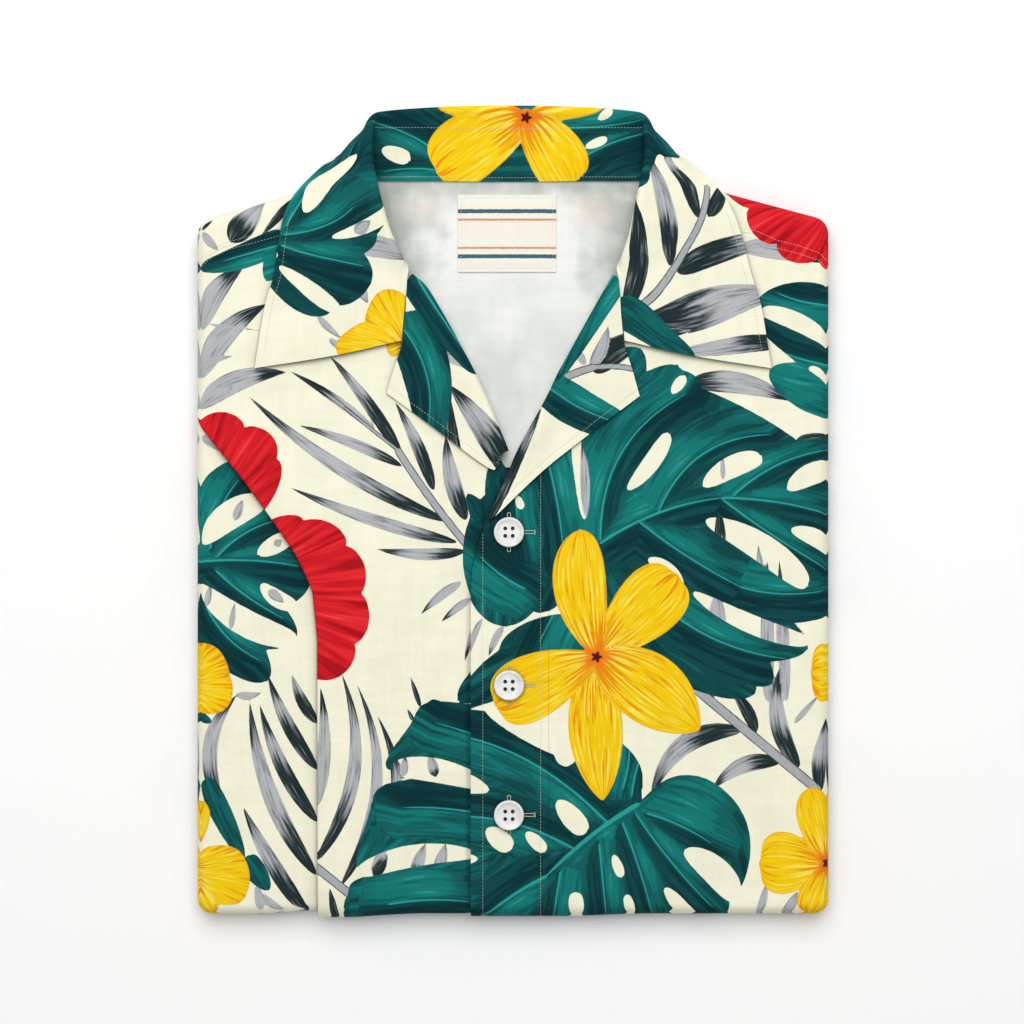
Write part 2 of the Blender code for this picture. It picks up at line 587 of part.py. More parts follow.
def lapel(name, roll, top, low, side, lift):
    """A lapel turned out over its front: from under the roll to its outer edge."""
    rows, columns = 15, 7
    line, end = smooth_line(roll, rows), smooth_line(low, rows)
    tangent = np.gradient(line, axis=0)
    tangent /= np.linalg.norm(tangent, axis=1)[:, None]
    outward = np.stack([tangent[:, 1], -tangent[:, 0]], axis=1) * side
    strengths = ease(line[:, 1], *ROLL_STARTS)
    chains = [rolled_chain(strength, LAPEL_BEND, ROLL_TUCK, 5) for strength in strengths]
    start = line - outward * np.array([chain[0].max() for chain in chains])[:, None]
    head = smooth_line(top, columns)
    head += (start[0] - head[0]) * np.linspace(1.0, 0.0, columns)[:, None]
    flat = patch_between(start, end, head, np.linspace(start[-1], end[-1], columns))
    across = np.linalg.norm(flat - flat[:, :1], axis=2)
    puff = LAPEL_PUFF * (1.0 - ease(across / across[:, -1:], 0.0, 0.8)) * strengths[:, None]
    base = SEAM_GAP + FACED / 2 + (left_lift(flat[..., 0]) if lift else 0.0)
    sheet = place(flat, base + puff)
    rolled = [[[*(start[k] + outward[k] * a), sheet[k, 0, 2] - b] for a, b in zip(*chains[k])][:0:-1]
              for k in range(rows)]
    grid = np.concatenate([np.array(rolled), sheet], axis=1)
    return wall_about(name, grid if side > 0 else grid[:, ::-1], FACED, LOOKS["teal"])


def patch_between(start, end, head, foot):
    """Points spread over a patch with four curved borders."""
    u = np.linspace(0.0, 1.0, len(head))[None, :, None]
    v = np.linspace(0.0, 1.0, len(start))[:, None, None]
    corners = ((1 - u) * (1 - v) * start[0] + u * (1 - v) * end[0]
               + (1 - u) * v * start[-1] + u * v * end[-1])
    return ((1 - u) * start[:, None] + u * end[:, None]
            + (1 - v) * head[None] + v * foot[None] - corners)


def neck_shift(y):
    return NECK_SHIFT * ease(y, *NECK_SHIFT_SPAN)


def collar_rows():
    """Rows of the collar from the right tip round the back to the left tip."""
    half = np.array(COLLAR_HALF)
    mirror = np.array([-1.0 if name.endswith("_x") else 1.0 for name in COLLAR_COLUMNS])
    full = np.concatenate([half * mirror, half[-2::-1]])
    rows = smooth_rows(full, COLLAR_STEPS)
    for first in (0, 3, 6, 9):
        rows[:, first] += neck_shift(rows[:, first + 1])
        on_pack = 1.0 - ease(rows[:, first + 1], *ON_PACK)
        rise = crown(rows[:, first:first + 2]) + left_lift(rows[:, first]) * (rows[:, first] > 0.0)
        rows[:, first + 2] += rise * on_pack
    return rows


def smooth_rows(rows, steps):
    padded = np.vstack([2 * rows[0] - rows[1], rows, 2 * rows[-1] - rows[-2]])
    made = []
    for before, start, end, after in zip(padded, padded[1:], padded[2:], padded[3:]):
        for t in np.linspace(0.0, 1.0, steps, endpoint=False):
            made.append(0.5 * (2 * start + (end - before) * t
                               + (2 * before - 5 * start + 4 * end - after) * t ** 2
                               + (3 * start - before - 3 * end + after) * t ** 3))
    return np.array(made + [rows[-1]])


def unit(vector):
    return vector / max(np.linalg.norm(vector), 1e-9)


def curve_through(start, start_way, end, end_way, count):
    """Points of a cubic from start to end with the given directions, without its last point."""
    reach = np.linalg.norm(end - start) * COLLAR_PULL
    first, second = start + start_way * reach, end - end_way * reach
    t = np.linspace(0.0, 1.0, count, endpoint=False)[:, None]
    return ((1 - t) ** 3 * start + 3 * (1 - t) ** 2 * t * first
            + 3 * (1 - t) * t ** 2 * second + t ** 3 * end)


def collar_section(row):
    """One section: up the stand, round the roll, over the brow and down to the edge.

    Near the tips there is no stand, and the roll opens into a plain edge.
    """
    roll, foot, brow, edge = row.reshape(4, 3)
    to_foot, to_brow = unit(foot - roll), unit(brow - roll)
    strength = float(ease(np.linalg.norm(foot - roll), *STAND_SPAN))
    opening = unit(to_foot * strength + to_brow)
    up = (to_brow - to_foot) * strength + np.array([0.0, 0.0, 1.0 - strength])
    spread = unit(up - (up @ opening) * opening)
    outward, drop = rolled_chain(strength, COLLAR_BEND, 0.0, 5)
    start = roll + opening * outward.max() + spread * COLLAR_BEND * strength
    arc = [start - opening * a - spread * b for a, b in zip(outward, drop)][:0:-1]
    turn_end = unit(arc[1] - arc[0])
    plain = arc[0] - turn_end * (1.2 + 3.0 * strength)
    foot = plain + (foot - plain) * float(ease(strength, 0.5, 1.0))
    inner = curve_through(foot, unit(arc[0] - foot), arc[0], turn_end, 3)
    fall_way = unit(edge - start)
    outer = curve_through(start, opening, brow, fall_way, 4)
    drop_line = curve_through(brow, fall_way, edge, unit(edge - brow), 3)
    return np.concatenate([inner, arc, outer, drop_line, [edge]])


def collar():
    """The collar in one wall: its stand, the roll and the fall, with both wings on the fronts."""
    grid = np.array([collar_section(row) for row in collar_rows()])
    return wall_about("collar", grid, FACED, LOOKS["cream"])


def button(name, x, y):
    """A round button with a rim, a dished face and four holes."""
    seat = place(np.array([[x, y]]), LEFT_LIFT + SEAM_GAP)[0]
    profile = ((0.0, BUTTON_RADIUS - 1.0), (0.7, BUTTON_RADIUS), (BUTTON_HEIGHT - 0.6, BUTTON_RADIUS),
               (BUTTON_HEIGHT, BUTTON_RADIUS - 0.7), (BUTTON_HEIGHT - 0.1, BUTTON_RADIUS - BUTTON_RIM),
               (BUTTON_HEIGHT - BUTTON_DISH, BUTTON_RADIUS - BUTTON_RIM - 1.0))
    body = turned(name, profile, 22, seat, LOOKS["shell"])
    holes = turned_holes(name + "_holes", seat)
    cut(body, holes)
    return body


def ring_of(radius, level, sides, centre):
    angle = np.arange(sides) * 2 * math.pi / sides
    return np.column_stack([centre[0] + radius * np.cos(angle), centre[1] + radius * np.sin(angle),
                            np.full(sides, centre[2] + level)])


def turned(name, profile, sides, centre, look):
    points = np.concatenate([ring_of(radius, level, sides, centre) for level, radius in profile])
    faces = [tuple(range(sides))[::-1]]
    for level in range(len(profile) - 1):
        for k in range(sides):
            here, after = level * sides + k, level * sides + (k + 1) % sides
            faces.append((here, after, after + sides, here + sides))
    last = (len(profile) - 1) * sides
    faces.append(tuple(last + k for k in range(sides)))
    return solid(name, points, faces, look)


def turned_holes(name, seat):
    """Four pins, joined into one cutter."""
    points, faces = [], []
    for side_x in (-1, 1):
        for side_y in (-1, 1):
            centre = seat + np.array([side_x * HOLE_SPACING, side_y * HOLE_SPACING, 0.0])
            first, sides = len(points), 8
            points += list(ring_of(BUTTON_HOLE, -1.0, sides, centre))
            points += list(ring_of(BUTTON_HOLE, BUTTON_HEIGHT + 1.0, sides, centre))
            faces.append(tuple(first + k for k in reversed(range(sides))))
            faces.append(tuple(first + sides + k for k in range(sides)))
            faces += [(first + k, first + (k + 1) % sides, first + sides + (k + 1) % sides,
                       first + sides + k) for k in range(sides)]
    cutter = solid(name, np.array(points), faces, LOOKS["shell"])
    cutter.hide_render = True
    cutter.display_type = "WIRE"
    return cutter


clear_scene()
LOOKS = {name: material(name, colour, 0.45 if name == "shell" else 0.85) for name, colour in COLOURS.items()}
folded_layers()
back()
label()
front_right()
front_left()
placket()
yoke("yoke_right", -1, YOKE_SEAM_RIGHT)
yoke("yoke_left", 1, YOKE_SEAM_LEFT)
lapel("lapel_right", LAPEL_RIGHT_ROLL, LAPEL_RIGHT_TOP, LAPEL_RIGHT_LOW, -1, False)
lapel("lapel_left", LAPEL_LEFT_ROLL, LAPEL_LEFT_TOP, LAPEL_LEFT_LOW, 1, True)
collar()
for number, (x, y) in enumerate(BUTTON_PLACES, start=1):
    button(f"button_{number}", x, y)
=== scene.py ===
import math

import bpy
import numpy as np
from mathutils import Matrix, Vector
from mathutils.geometry import delaunay_2d_cdt
from mathutils.kdtree import KDTree


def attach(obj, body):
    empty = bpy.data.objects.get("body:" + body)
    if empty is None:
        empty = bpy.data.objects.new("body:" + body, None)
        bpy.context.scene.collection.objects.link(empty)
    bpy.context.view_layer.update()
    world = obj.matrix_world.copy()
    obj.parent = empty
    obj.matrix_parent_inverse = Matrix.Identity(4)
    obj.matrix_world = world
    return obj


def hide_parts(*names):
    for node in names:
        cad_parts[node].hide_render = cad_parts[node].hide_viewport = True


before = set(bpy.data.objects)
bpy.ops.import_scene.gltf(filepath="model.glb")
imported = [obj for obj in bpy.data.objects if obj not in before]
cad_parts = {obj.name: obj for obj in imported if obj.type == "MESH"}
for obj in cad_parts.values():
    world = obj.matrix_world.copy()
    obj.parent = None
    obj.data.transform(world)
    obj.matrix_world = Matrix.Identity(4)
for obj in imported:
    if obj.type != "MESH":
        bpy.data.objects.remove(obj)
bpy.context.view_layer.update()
print("frame loaded:", len(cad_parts), "nodes")

mm = 0.001   # lengths below are millimetres, +y towards the collar, z up


def ease(value, start, end):
    share = np.clip((np.asarray(value, float) - start) / (end - start), 0.0, 1.0)
    return share * share * (3.0 - 2.0 * share)


def tableValue(table, where):
    rows = np.array(table, float)
    return np.interp(where, rows[:, 0], rows[:, 1])


def throughPoints(points, steps):   # a smooth curve through the points
    points = np.array(points, float)
    padded = np.vstack([2 * points[0] - points[1], points, 2 * points[-1] - points[-2]])
    made = []
    for before, start, end, after in zip(padded, padded[1:], padded[2:], padded[3:]):
        for t in np.linspace(0.0, 1.0, steps, endpoint=False):
            made.append(0.5 * (2 * start + (end - before) * t
                               + (2 * before - 5 * start + 4 * end - after) * t ** 2
                               + (3 * start - before - 3 * end + after) * t ** 3))
    return np.array(made + [points[-1]])


def travelAlong(points):   # how far each point is from the first one, along the line
    steps = np.linalg.norm(np.diff(points, axis=-2), axis=-1)
    return np.concatenate([np.zeros((*steps.shape[:-1], 1)), np.cumsum(steps, axis=-1)], axis=-1)


def atTravel(points, wanted):
    travel = travelAlong(points)
    return np.stack([np.interp(wanted, travel, column) for column in points.T], axis=-1)


def evenLine(points, count):   # the same curve with evenly spaced points
    dense = throughPoints(points, 12)
    return atTravel(dense, np.linspace(0.0, travelAlong(dense)[-1], count))


def unit(vectors):
    return vectors / np.maximum(np.linalg.norm(vectors, axis=-1, keepdims=True), 1e-9)


def shareAlong(points, start, way):   # where points lie beside a line's stretch, from 0 to 1
    return np.clip((points - start) @ way / max(way @ way, 1e-9), 0.0, 1.0)


pack = {   # the folded pack that the cloth lies on
    "halfWidth": 158.0, "bottom": -201.3, "height": 18.0, "crown": 1.0,
    "edgeReach": 6.0, "edgeDrop": 9.0, "edgeQuarter": 11.9, "sideWrap": 100.0, "hemWrap": 125.0,
    "spread": 1.4, "gap": 0.3, "seam": 0.06, "cloth": 1.0, "faced": 1.4,
    "leftLift": 1.3, "liftSpan": (22.0, 70.0),
    "crownHalf": (152.0, 180.0), "crownShift": 20.0, "wrapSpan": (0.2, 0.8), "leastRadius": 0.8,
    "corners": (   # x, y and radius
        (-158.0, -201.3, 7.6), (158.0, -201.3, 7.6), (158.0, 145.7, 9.0), (93.0, 163.0, 60.0),
        (-97.0, 163.0, 60.0), (-158.0, 145.1, 10.0),
    ),
    "topArcs": 14, "layerArcs": 10,   # steps round a corner, for the cloth on top and for the hidden layers
}


def roundedOutline(inset, arcSteps, edgeLength=None):
    corners = np.array([row[:2] for row in pack["corners"]])
    radii = [max(row[2] - inset, pack["leastRadius"]) for row in pack["corners"]]
    sides = unit(np.roll(corners, -1, axis=0) - corners)
    inward = np.stack([-sides[:, 1], sides[:, 0]], axis=1)
    points = []
    for k, corner in enumerate(corners):
        before, after = inward[k - 1], inward[k]
        centre = corner + (before + after) / (1.0 + before @ after) * (inset + radii[k])
        start, end = math.atan2(*-before[::-1]), math.atan2(*-after[::-1])
        turn = (end - start) % (2 * math.pi)
        for step in range(arcSteps + 1):
            angle = start + turn * step / arcSteps
            points.append(centre + radii[k] * np.array([math.cos(angle), math.sin(angle)]))
    if edgeLength:
        divided = []
        for start, end in zip(points, points[1:] + points[:1]):
            steps = max(1, round(np.linalg.norm(end - start) / edgeLength))
            divided += [start + (end - start) * k / steps for k in range(steps)]
        points = divided
    return np.array(points)


innerLine = roundedOutline(pack["edgeReach"], pack["topArcs"])


def crown(flat):   # the pack is a little higher in its middle
    across = np.clip(1.0 - (flat[:, 0] / pack["crownHalf"][0]) ** 2, 0.0, 1.0)
    along = np.clip(1.0 - ((flat[:, 1] + pack["crownShift"]) / pack["crownHalf"][1]) ** 2, 0.0, 1.0)
    return pack["crown"] * across * along


def edgeFrame(flat):   # nearest point of the inner line, the way out of it, and how far outside
    best, nearest = np.full(len(flat), np.inf), flat.copy()
    outside = np.zeros(len(flat), bool)
    for start, way in zip(innerLine, np.roll(innerLine, -1, axis=0) - innerLine):
        offset = flat - start
        point = start + shareAlong(flat, start, way)[:, None] * way
        distance = np.linalg.norm(flat - point, axis=1)
        closer = distance < best
        best = np.where(closer, distance, best)
        nearest[closer] = point[closer]
        outside |= way[0] * offset[:, 1] - way[1] * offset[:, 0] < 0.0
    return nearest, (flat - nearest) / np.maximum(best, 1e-9)[:, None], np.where(outside, best, 0.0)


def roundEdge(base, outward, angle, height):   # angle 0 is on top and half a turn is under the pack
    across, upward = np.sin(angle) / pack["edgeReach"], np.cos(angle) / pack["edgeDrop"]
    size = np.hypot(across, upward)
    reach = pack["edgeReach"] * np.sin(angle) + height * across / size
    level = pack["edgeDrop"] * (1.0 + np.cos(angle)) + height * upward / size
    level = level + crown(base) * np.cos(np.minimum(angle, math.pi / 2)) ** 2
    return np.concatenate([base + outward * np.asarray(reach)[..., None], level[..., None]], axis=-1)


def place(flat, height):   # carries flat cloth and its height onto the rounded pack
    flat = np.asarray(flat, float)
    shape = flat.shape[:-1]
    flat = flat.reshape(-1, 2)
    nearest, outward, excess = edgeFrame(flat)
    side, hem = (pack["edgeQuarter"] * pack[wrap] / 90.0 for wrap in ("sideWrap", "hemWrap"))
    limit = side + (hem - side) * ease(-outward[:, 1], *pack["wrapSpan"])
    excess = excess / (1.0 + (excess / limit) ** 4) ** 0.25   # nears the limit softly
    base = np.where((excess > 0.0)[:, None], nearest, flat)
    angle = excess / pack["edgeQuarter"] * math.pi / 2
    return roundEdge(base, outward, angle, np.broadcast_to(height, shape).reshape(-1)).reshape(*shape, 3)


def leftLift(x):   # the left front rises where it laps the right one
    return pack["leftLift"] * (1.0 - ease(x, *pack["liftSpan"]))


# soft creases of the fronts: from x, y to x, y, half width, height (a trough is below 0)
creases = (
    (-62.0, 66.0, -40.0, 8.0, 7.0, 0.55), (-84.0, 58.0, -70.0, 14.0, 8.0, -0.45),
    (-88.0, -60.0, -84.0, -150.0, 9.0, 0.35), (-62.0, -96.0, -58.0, -172.0, 11.0, -0.4),
    (-44.0, -20.0, -30.0, -62.0, 7.0, -0.35), (-30.0, -96.0, -34.0, -140.0, 6.0, 0.3),
    (-138.0, 70.0, -122.0, 96.0, 7.0, 0.4), (-140.0, -70.0, -134.0, -166.0, 9.0, -0.35),
    (34.0, 18.0, 86.0, 34.0, 8.0, -0.4), (70.0, 52.0, 120.0, 40.0, 9.0, 0.45),
    (28.0, -44.0, 64.0, -62.0, 7.0, 0.35), (96.0, -30.0, 150.0, -48.0, 9.0, -0.5),
    (60.0, -98.0, 132.0, -104.0, 8.0, 0.35), (104.0, -120.0, 126.0, -178.0, 10.0, -0.45),
    (40.0, -130.0, 52.0, -186.0, 8.0, 0.3), (132.0, 96.0, 146.0, 58.0, 8.0, -0.4),
    (-22.0, -215.0, -21.8, -24.0, 1.3, -0.7),
)


creaseForm = {"bow": 0.06, "bowsAbove": 2.0, "rise": (-0.15, 0.25), "fall": (0.7, 1.15)}


def creaseHeight(x, y):
    height = np.zeros(np.shape(x))
    for x0, y0, x1, y1, width, rise in creases:
        way = np.array([x1 - x0, y1 - y0])
        length = np.linalg.norm(way)
        way /= length
        along = ((x - x0) * way[0] + (y - y0) * way[1]) / length
        bow = creaseForm["bow"] * length * np.sin(np.clip(along, 0, 1) * math.pi)
        bow *= width > creaseForm["bowsAbove"]
        across = (x - x0) * -way[1] + (y - y0) * way[0] - bow
        fade = ease(along, *creaseForm["rise"]) * (1.0 - ease(along, *creaseForm["fall"]))
        height += rise * fade * np.exp(-(across / width) ** 2)
    return height


def gridNormals(grid):
    return unit(np.cross(np.gradient(grid, axis=1), np.gradient(grid, axis=0)))


def addObject(name, data):
    made = bpy.data.objects.new(name, data)
    bpy.context.scene.collection.objects.link(made)
    return made


def evaluatedMesh(source):   # what its modifiers make of it
    return bpy.data.meshes.new_from_object(source.evaluated_get(bpy.context.evaluated_depsgraph_get()))


def cutAway(body, tools, materialMode="INDEX"):
    for tool in tools:
        cutting = body.modifiers.new("cut", "BOOLEAN")
        cutting.operation, cutting.solver, cutting.object = "DIFFERENCE", "EXACT", tool
        cutting.material_mode = materialMode
    mesh = evaluatedMesh(body)
    body.modifiers.clear()
    body.data = mesh
    for tool in tools:
        bpy.data.objects.remove(tool)


def ringFaces(rings, count, first=0):   # quads between rings of points; they face out when the rings go down
    faces = []
    for start in range(first, first + (rings - 1) * count, count):
        for k in range(count):
            here, after = start + k, start + (k + 1) % count
            faces.append((here, here + count, after + count, after))
    return faces


def meshPiece(name, points, faces, look):
    mesh = bpy.data.meshes.new(name)
    mesh.from_pydata((np.asarray(points) * mm).tolist(), [], faces)
    mesh.materials.append(look)
    mesh.shade_smooth()
    mesh.set_sharp_from_angle(angle=math.radians(50))
    return addObject(name, mesh)


def clothWall(name, upper, lower, look, step=4):   # fine on its upper side, plainer below
    rows, columns = upper.shape[:2]
    index = np.arange(rows * columns).reshape(rows, columns)
    kept = np.zeros((rows, columns), bool)
    kept[::step, ::step] = True
    kept[[0, -1], :] = True
    kept[:, [0, -1]] = True
    low = np.full((rows, columns), -1)
    low[kept] = rows * columns + np.arange(kept.sum())
    points = np.concatenate([upper.reshape(-1, 3), lower[kept]])
    source = np.concatenate([index.ravel(), index[kept]])
    faces = np.stack([index[:-1, :-1], index[:-1, 1:], index[1:, 1:], index[1:, :-1]], axis=-1)
    faces = faces.reshape(-1, 4).tolist()
    rim = [(0, j) for j in range(columns)] + [(i, columns - 1) for i in range(1, rows)]
    rim += [(rows - 1, j) for j in range(columns - 2, -1, -1)] + [(i, 0) for i in range(rows - 2, 0, -1)]
    for start, end in zip(rim, rim[1:] + rim[:1]):
        faces.append([int(index[end]), int(index[start]), int(low[start]), int(low[end])])
    for i in range(0, rows - 1, step):
        for j in range(0, columns - 1, step):
            walk = [(k, j) for k in range(i, i + step)] + [(i + step, k) for k in range(j, j + step)]
            walk += [(k, j + step) for k in range(i + step, i, -1)] + [(i, k) for k in range(j + step, j, -1)]
            faces.append([int(low[spot]) for spot in walk if low[spot] >= 0])
    return meshPiece(name, points, faces, look), source


def wallAbout(name, middle, thickness, look, step=4):
    normals = gridNormals(middle)
    return clothWall(name, middle + normals * thickness / 2, middle - normals * thickness / 2, look, step)


# the print is in half millimetres: u to the right and v downwards, from a corner beyond the cloth
strokeKinds = {   # how fast a stroke swells from its start and narrows to its tip
    "frond": (0.55, 0.9), "stem": (0.02, 0.02), "leaf": (0.22, 0.5), "lobe": (0.18, 0.16),
    "gap": (0.5, 0.35), "round": (0.5, 0.5), "vein": (0.02, 0.3),
}

# rows of a stroke: from u, v to u, v, width, bend to the right-hand side, and for fronds the dark share,
# from the base, or from the tip where it is below 0
bodyPrint = {
    "stem": (
        (468, 546, 398, 450, 8, -2, 0), (398, 450, 345, 408, 4, 0, 0), (312, 860, 352, 892, 9, 0, 0),
        (690, 684, 818, 790, 10, 0, 0.2),
    ),
    "frond": (
        (402, 455, 331, 357, 13, 3, 0.6), (434, 490, 396, 403, 13, 3, 0.55),
        (466, 520, 446, 436, 17, -4, 0.4), (375, 430, 291, 372, 9, 3, -0.5),
        (402, 466, 300, 426, 11, 3, 0.3), (447, 521, 249, 396, 15, -12, 0.35),
        (457, 542, 292, 488, 13, -5, 0.25), (465, 551, 378, 549, 12, -4, 0.35),
        (461, 582, 422, 613, 10, 2, -0.2), (471, 598, 442, 621, 8, 1, -0.3),
        (482, 615, 465, 660, 7, 2, -0.3), (503, 624, 489, 652, 8, 1, -0.2),
        (318, 858, 343, 672, 14, 25, 0.35), (343, 882, 358, 683, 12, 27, 0.3),
        (372, 868, 378, 714, 12, 22, -0.4), (318, 805, 322, 686, 13, 6, -0.1),
        (421, 706, 411, 676, 5, 0, 1), (414, 720, 408, 708, 4, 0, 1), (338, 925, 331, 885, 8, 0, 1),
        (403, 775, 406, 755, 9, 0, -0.2), (436, 775, 430, 752, 11, 0, 0.3),
        (414, 872, 426, 842, 12, 0, 0.3), (438, 872, 446, 842, 12, 0, 0),
        (375, 874, 388, 852, 12, 0, 0.8), (740, 728, 650, 797, 20, 22, 0.45),
        (778, 760, 711, 788, 17, 10, 0.4), (755, 731, 729, 687, 13, 3, 0.9),
        (797, 766, 778, 668, 18, -11, 0.45), (793, 722, 817, 695, 6, 0, 0),
        (819, 790, 830, 715, 18, -4, 0.4), (697, 682, 714, 702, 12, 0, 1), (757, 918, 767, 878, 8, 0, 0),
        (783, 918, 796, 890, 11, 0, 0), (686, 384, 792, 402, 22, -9, 0.3), (795, 441, 832, 436, 11, 0, 1),
        (738, 248, 830, 264, 20, -4, -0.35), (716, 640, 716, 590, 18, 0, 0),
        (766, 700, 766, 560, 14, 0, 0), (785, 700, 778, 560, 12, 0, 0), (720, 565, 718, 505, 12, 0, -0.6),
        (762, 600, 757, 545, 9, 0, 0), (722, 480, 721, 455, 5, 0, 0), (586, 517, 582, 434, 11, 1, 0),
        (201, 330, 246, 266, 22, -8, -0.35), (200, 378, 268, 305, 24, -10, -0.3),
        (199, 408, 287, 373, 22, -10, -0.25), (204, 366, 233, 357, 6, -1, 0),
        (224, 398, 233, 386, 6, 0, 0), (203, 324, 264, 332, 2, 0, 0), (232, 243, 264, 198, 26, 0, 0.5),
        (202, 234, 220, 252, 9, 0, 0), (201, 230, 213, 219, 6, 0, 1), (300, 195, 262, 238, 9, 0, 1),
    ),
    "leaf": (
        (602, 548, 676, 366, 76, -22), (640, 530, 788, 446, 86, -14), (700, 508, 866, 466, 62, -6),
        (640, 525, 870, 520, 80, -10), (640, 520, 872, 578, 84, 6), (620, 540, 846, 602, 84, 10),
        (610, 550, 806, 648, 84, 12), (600, 560, 753, 693, 76, 12), (650, 560, 770, 683, 66, 4),
        (592, 545, 640, 690, 90, 0), (540, 470, 560, 600, 80, 0), (545, 455, 575, 560, 70, 0),
        (592, 648, 458, 698, 54, 10), (560, 650, 494, 662, 42, 0), (640, 800, 392, 765, 86, 34),
        (630, 810, 362, 868, 84, 34), (620, 830, 345, 905, 76, 20), (636, 805, 735, 893, 66, -38),
        (632, 808, 720, 925, 80, -6), (630, 812, 620, 940, 130, 0), (610, 830, 480, 940, 130, 0),
        (600, 760, 480, 880, 110, 0), (490, 545, 468, 494, 22, 3), (504, 530, 493, 462, 24, -2),
        (446, 706, 388, 767, 40, -6), (400, 786, 362, 872, 42, -4), (392, 880, 345, 914, 30, -4),
        (850, 330, 755, 304, 52, 10), (850, 375, 760, 322, 50, 6), (850, 400, 768, 372, 50, -2),
        (285, 238, 199, 270, 26, -4), (284, 242, 268, 282, 24, 0), (640, 545, 691, 380, 70, -12),
        (655, 530, 748, 416, 82, -12), (690, 505, 862, 446, 56, -4), (540, 480, 640, 350, 80, 0),
        (560, 520, 560, 430, 90, 0),
    ),
    "lobe": (   # leaf ends that are cut off broadly
        (600, 792, 412, 724, 66, 10), (600, 835, 372, 812, 74, 8), (600, 888, 350, 905, 74, 0),
        (600, 925, 350, 930, 60, 0), (522, 446, 520, 540, 58, 0), (640, 648, 486, 682, 42, 8),
        (540, 560, 600, 580, 70, 0), (672, 392, 802, 461, 32, -3),
    ),
    "round": (
        (510, 484, 506, 624, 90, 0), (545, 500, 540, 612, 66, 0), (500, 648, 600, 626, 44, 0),
        (630, 388, 700, 387, 38, 0),
    ),
    "gap": (
        (627, 490, 668, 434, 17, 3), (702, 486, 760, 457, 22, -4), (786, 489, 835, 468, 22, -4),
        (705, 520, 806, 585, 28, -7), (790, 529, 836, 552, 18, -3), (692, 592, 808, 642, 19, 6),
        (648, 558, 680, 590, 17, -4), (671, 394, 684, 377, 11, 0), (584, 519, 575, 438, 15, 2),
        (517, 495, 522, 508, 8, 0), (489, 786, 392, 766, 24, 6), (478, 853, 358, 870, 22, 8),
        (487, 824, 511, 846, 19, 0), (526, 830, 545, 849, 13, 0), (557, 799, 585, 831, 21, 0),
        (485, 703, 573, 752, 24, 0), (613, 853, 621, 875, 10, 0), (577, 918, 575, 890, 15, 0),
        (632, 918, 626, 893, 10, 0), (664, 886, 694, 922, 15, 0), (684, 848, 736, 896, 28, -5),
        (563, 704, 566, 764, 26, 0), (534, 710, 574, 728, 24, 0), (836, 350, 760, 311, 18, 6),
        (832, 386, 808, 368, 8, 2),
    ),
    "midrib": (
        (600, 543, 720, 498, 2.6, -8), (720, 498, 835, 517, 2.0, -5), (638, 802, 546, 874, 4.5, 4),
        (546, 874, 480, 915, 3.2, 2),
    ),
    "vein": (
        (600, 540, 686, 394, 1.9, -26), (658, 511, 769, 435, 1.9, -22), (732, 496, 829, 450, 1.9, -9),
        (639, 522, 740, 587, 1.9, 3), (740, 587, 824, 590, 1.5, 5), (722, 500, 828, 570, 1.9, 2),
        (674, 615, 785, 658, 1.9, 8), (543, 445, 563, 552, 2.0, -3), (525, 588, 481, 553, 1.8, -3),
        (622, 822, 652, 915, 1.8, -2), (635, 812, 712, 906, 1.8, 3), (646, 812, 709, 841, 1.8, -3),
        (598.7, 842, 606, 916, 1.8, 0), (560, 870, 553, 918, 1.8, 0), (574, 847, 405, 806, 2.2, 12),
        (608, 822, 437, 722, 2.2, 14), (631, 795, 648, 737, 1.8, -3), (622, 788, 629, 737, 1.8, 2),
        (390, 902, 470, 900, 1.8, -3), (830, 306, 776, 294, 1.8, -3), (830, 366, 765, 346, 1.8, -3),
        (285, 245, 225, 262, 1.8, 0), (516, 500, 524, 540, 1.5, 2), (560, 600, 540, 640, 1.6, 0),
    ),
    "petal": (   # the last value is the taper: small is blunt
        (596, 656, 676, 575, 66, 0, 0.34), (598, 658, 579, 530, 53, -8, 0.52),
        (594, 652, 602, 799, 54, 3, 0.8), (592, 652, 699, 729, 70, -4, 0.8),
        (600, 654, 496, 702, 66, 0, 0.32), (828, 862, 759, 861, 62, 0, 0.35),
        (828, 862, 808, 787, 40, 0, 0.5), (828, 862, 810, 916, 40, 0, 0.4),
        (850, 672, 810, 672, 58, 0, 0.35), (405, 345, 388, 352, 16, 0, 0.4),
    ),
    "fan": (   # a ruffled petal's base u, v, its first and last degree, even reaches, ruffles and their depth
        (175, 560, -96, -27, (120, 150, 158, 152, 104), 4, 8),
        (225, 590, -62, 64, (74, 114, 138, 145, 149, 137, 82), 6, 8),
        (870, 160, 98, 198, (112, 123, 137, 142, 150, 160), 5, 10),
    ),
    "heart": ((596, 656), (828, 862)),
}

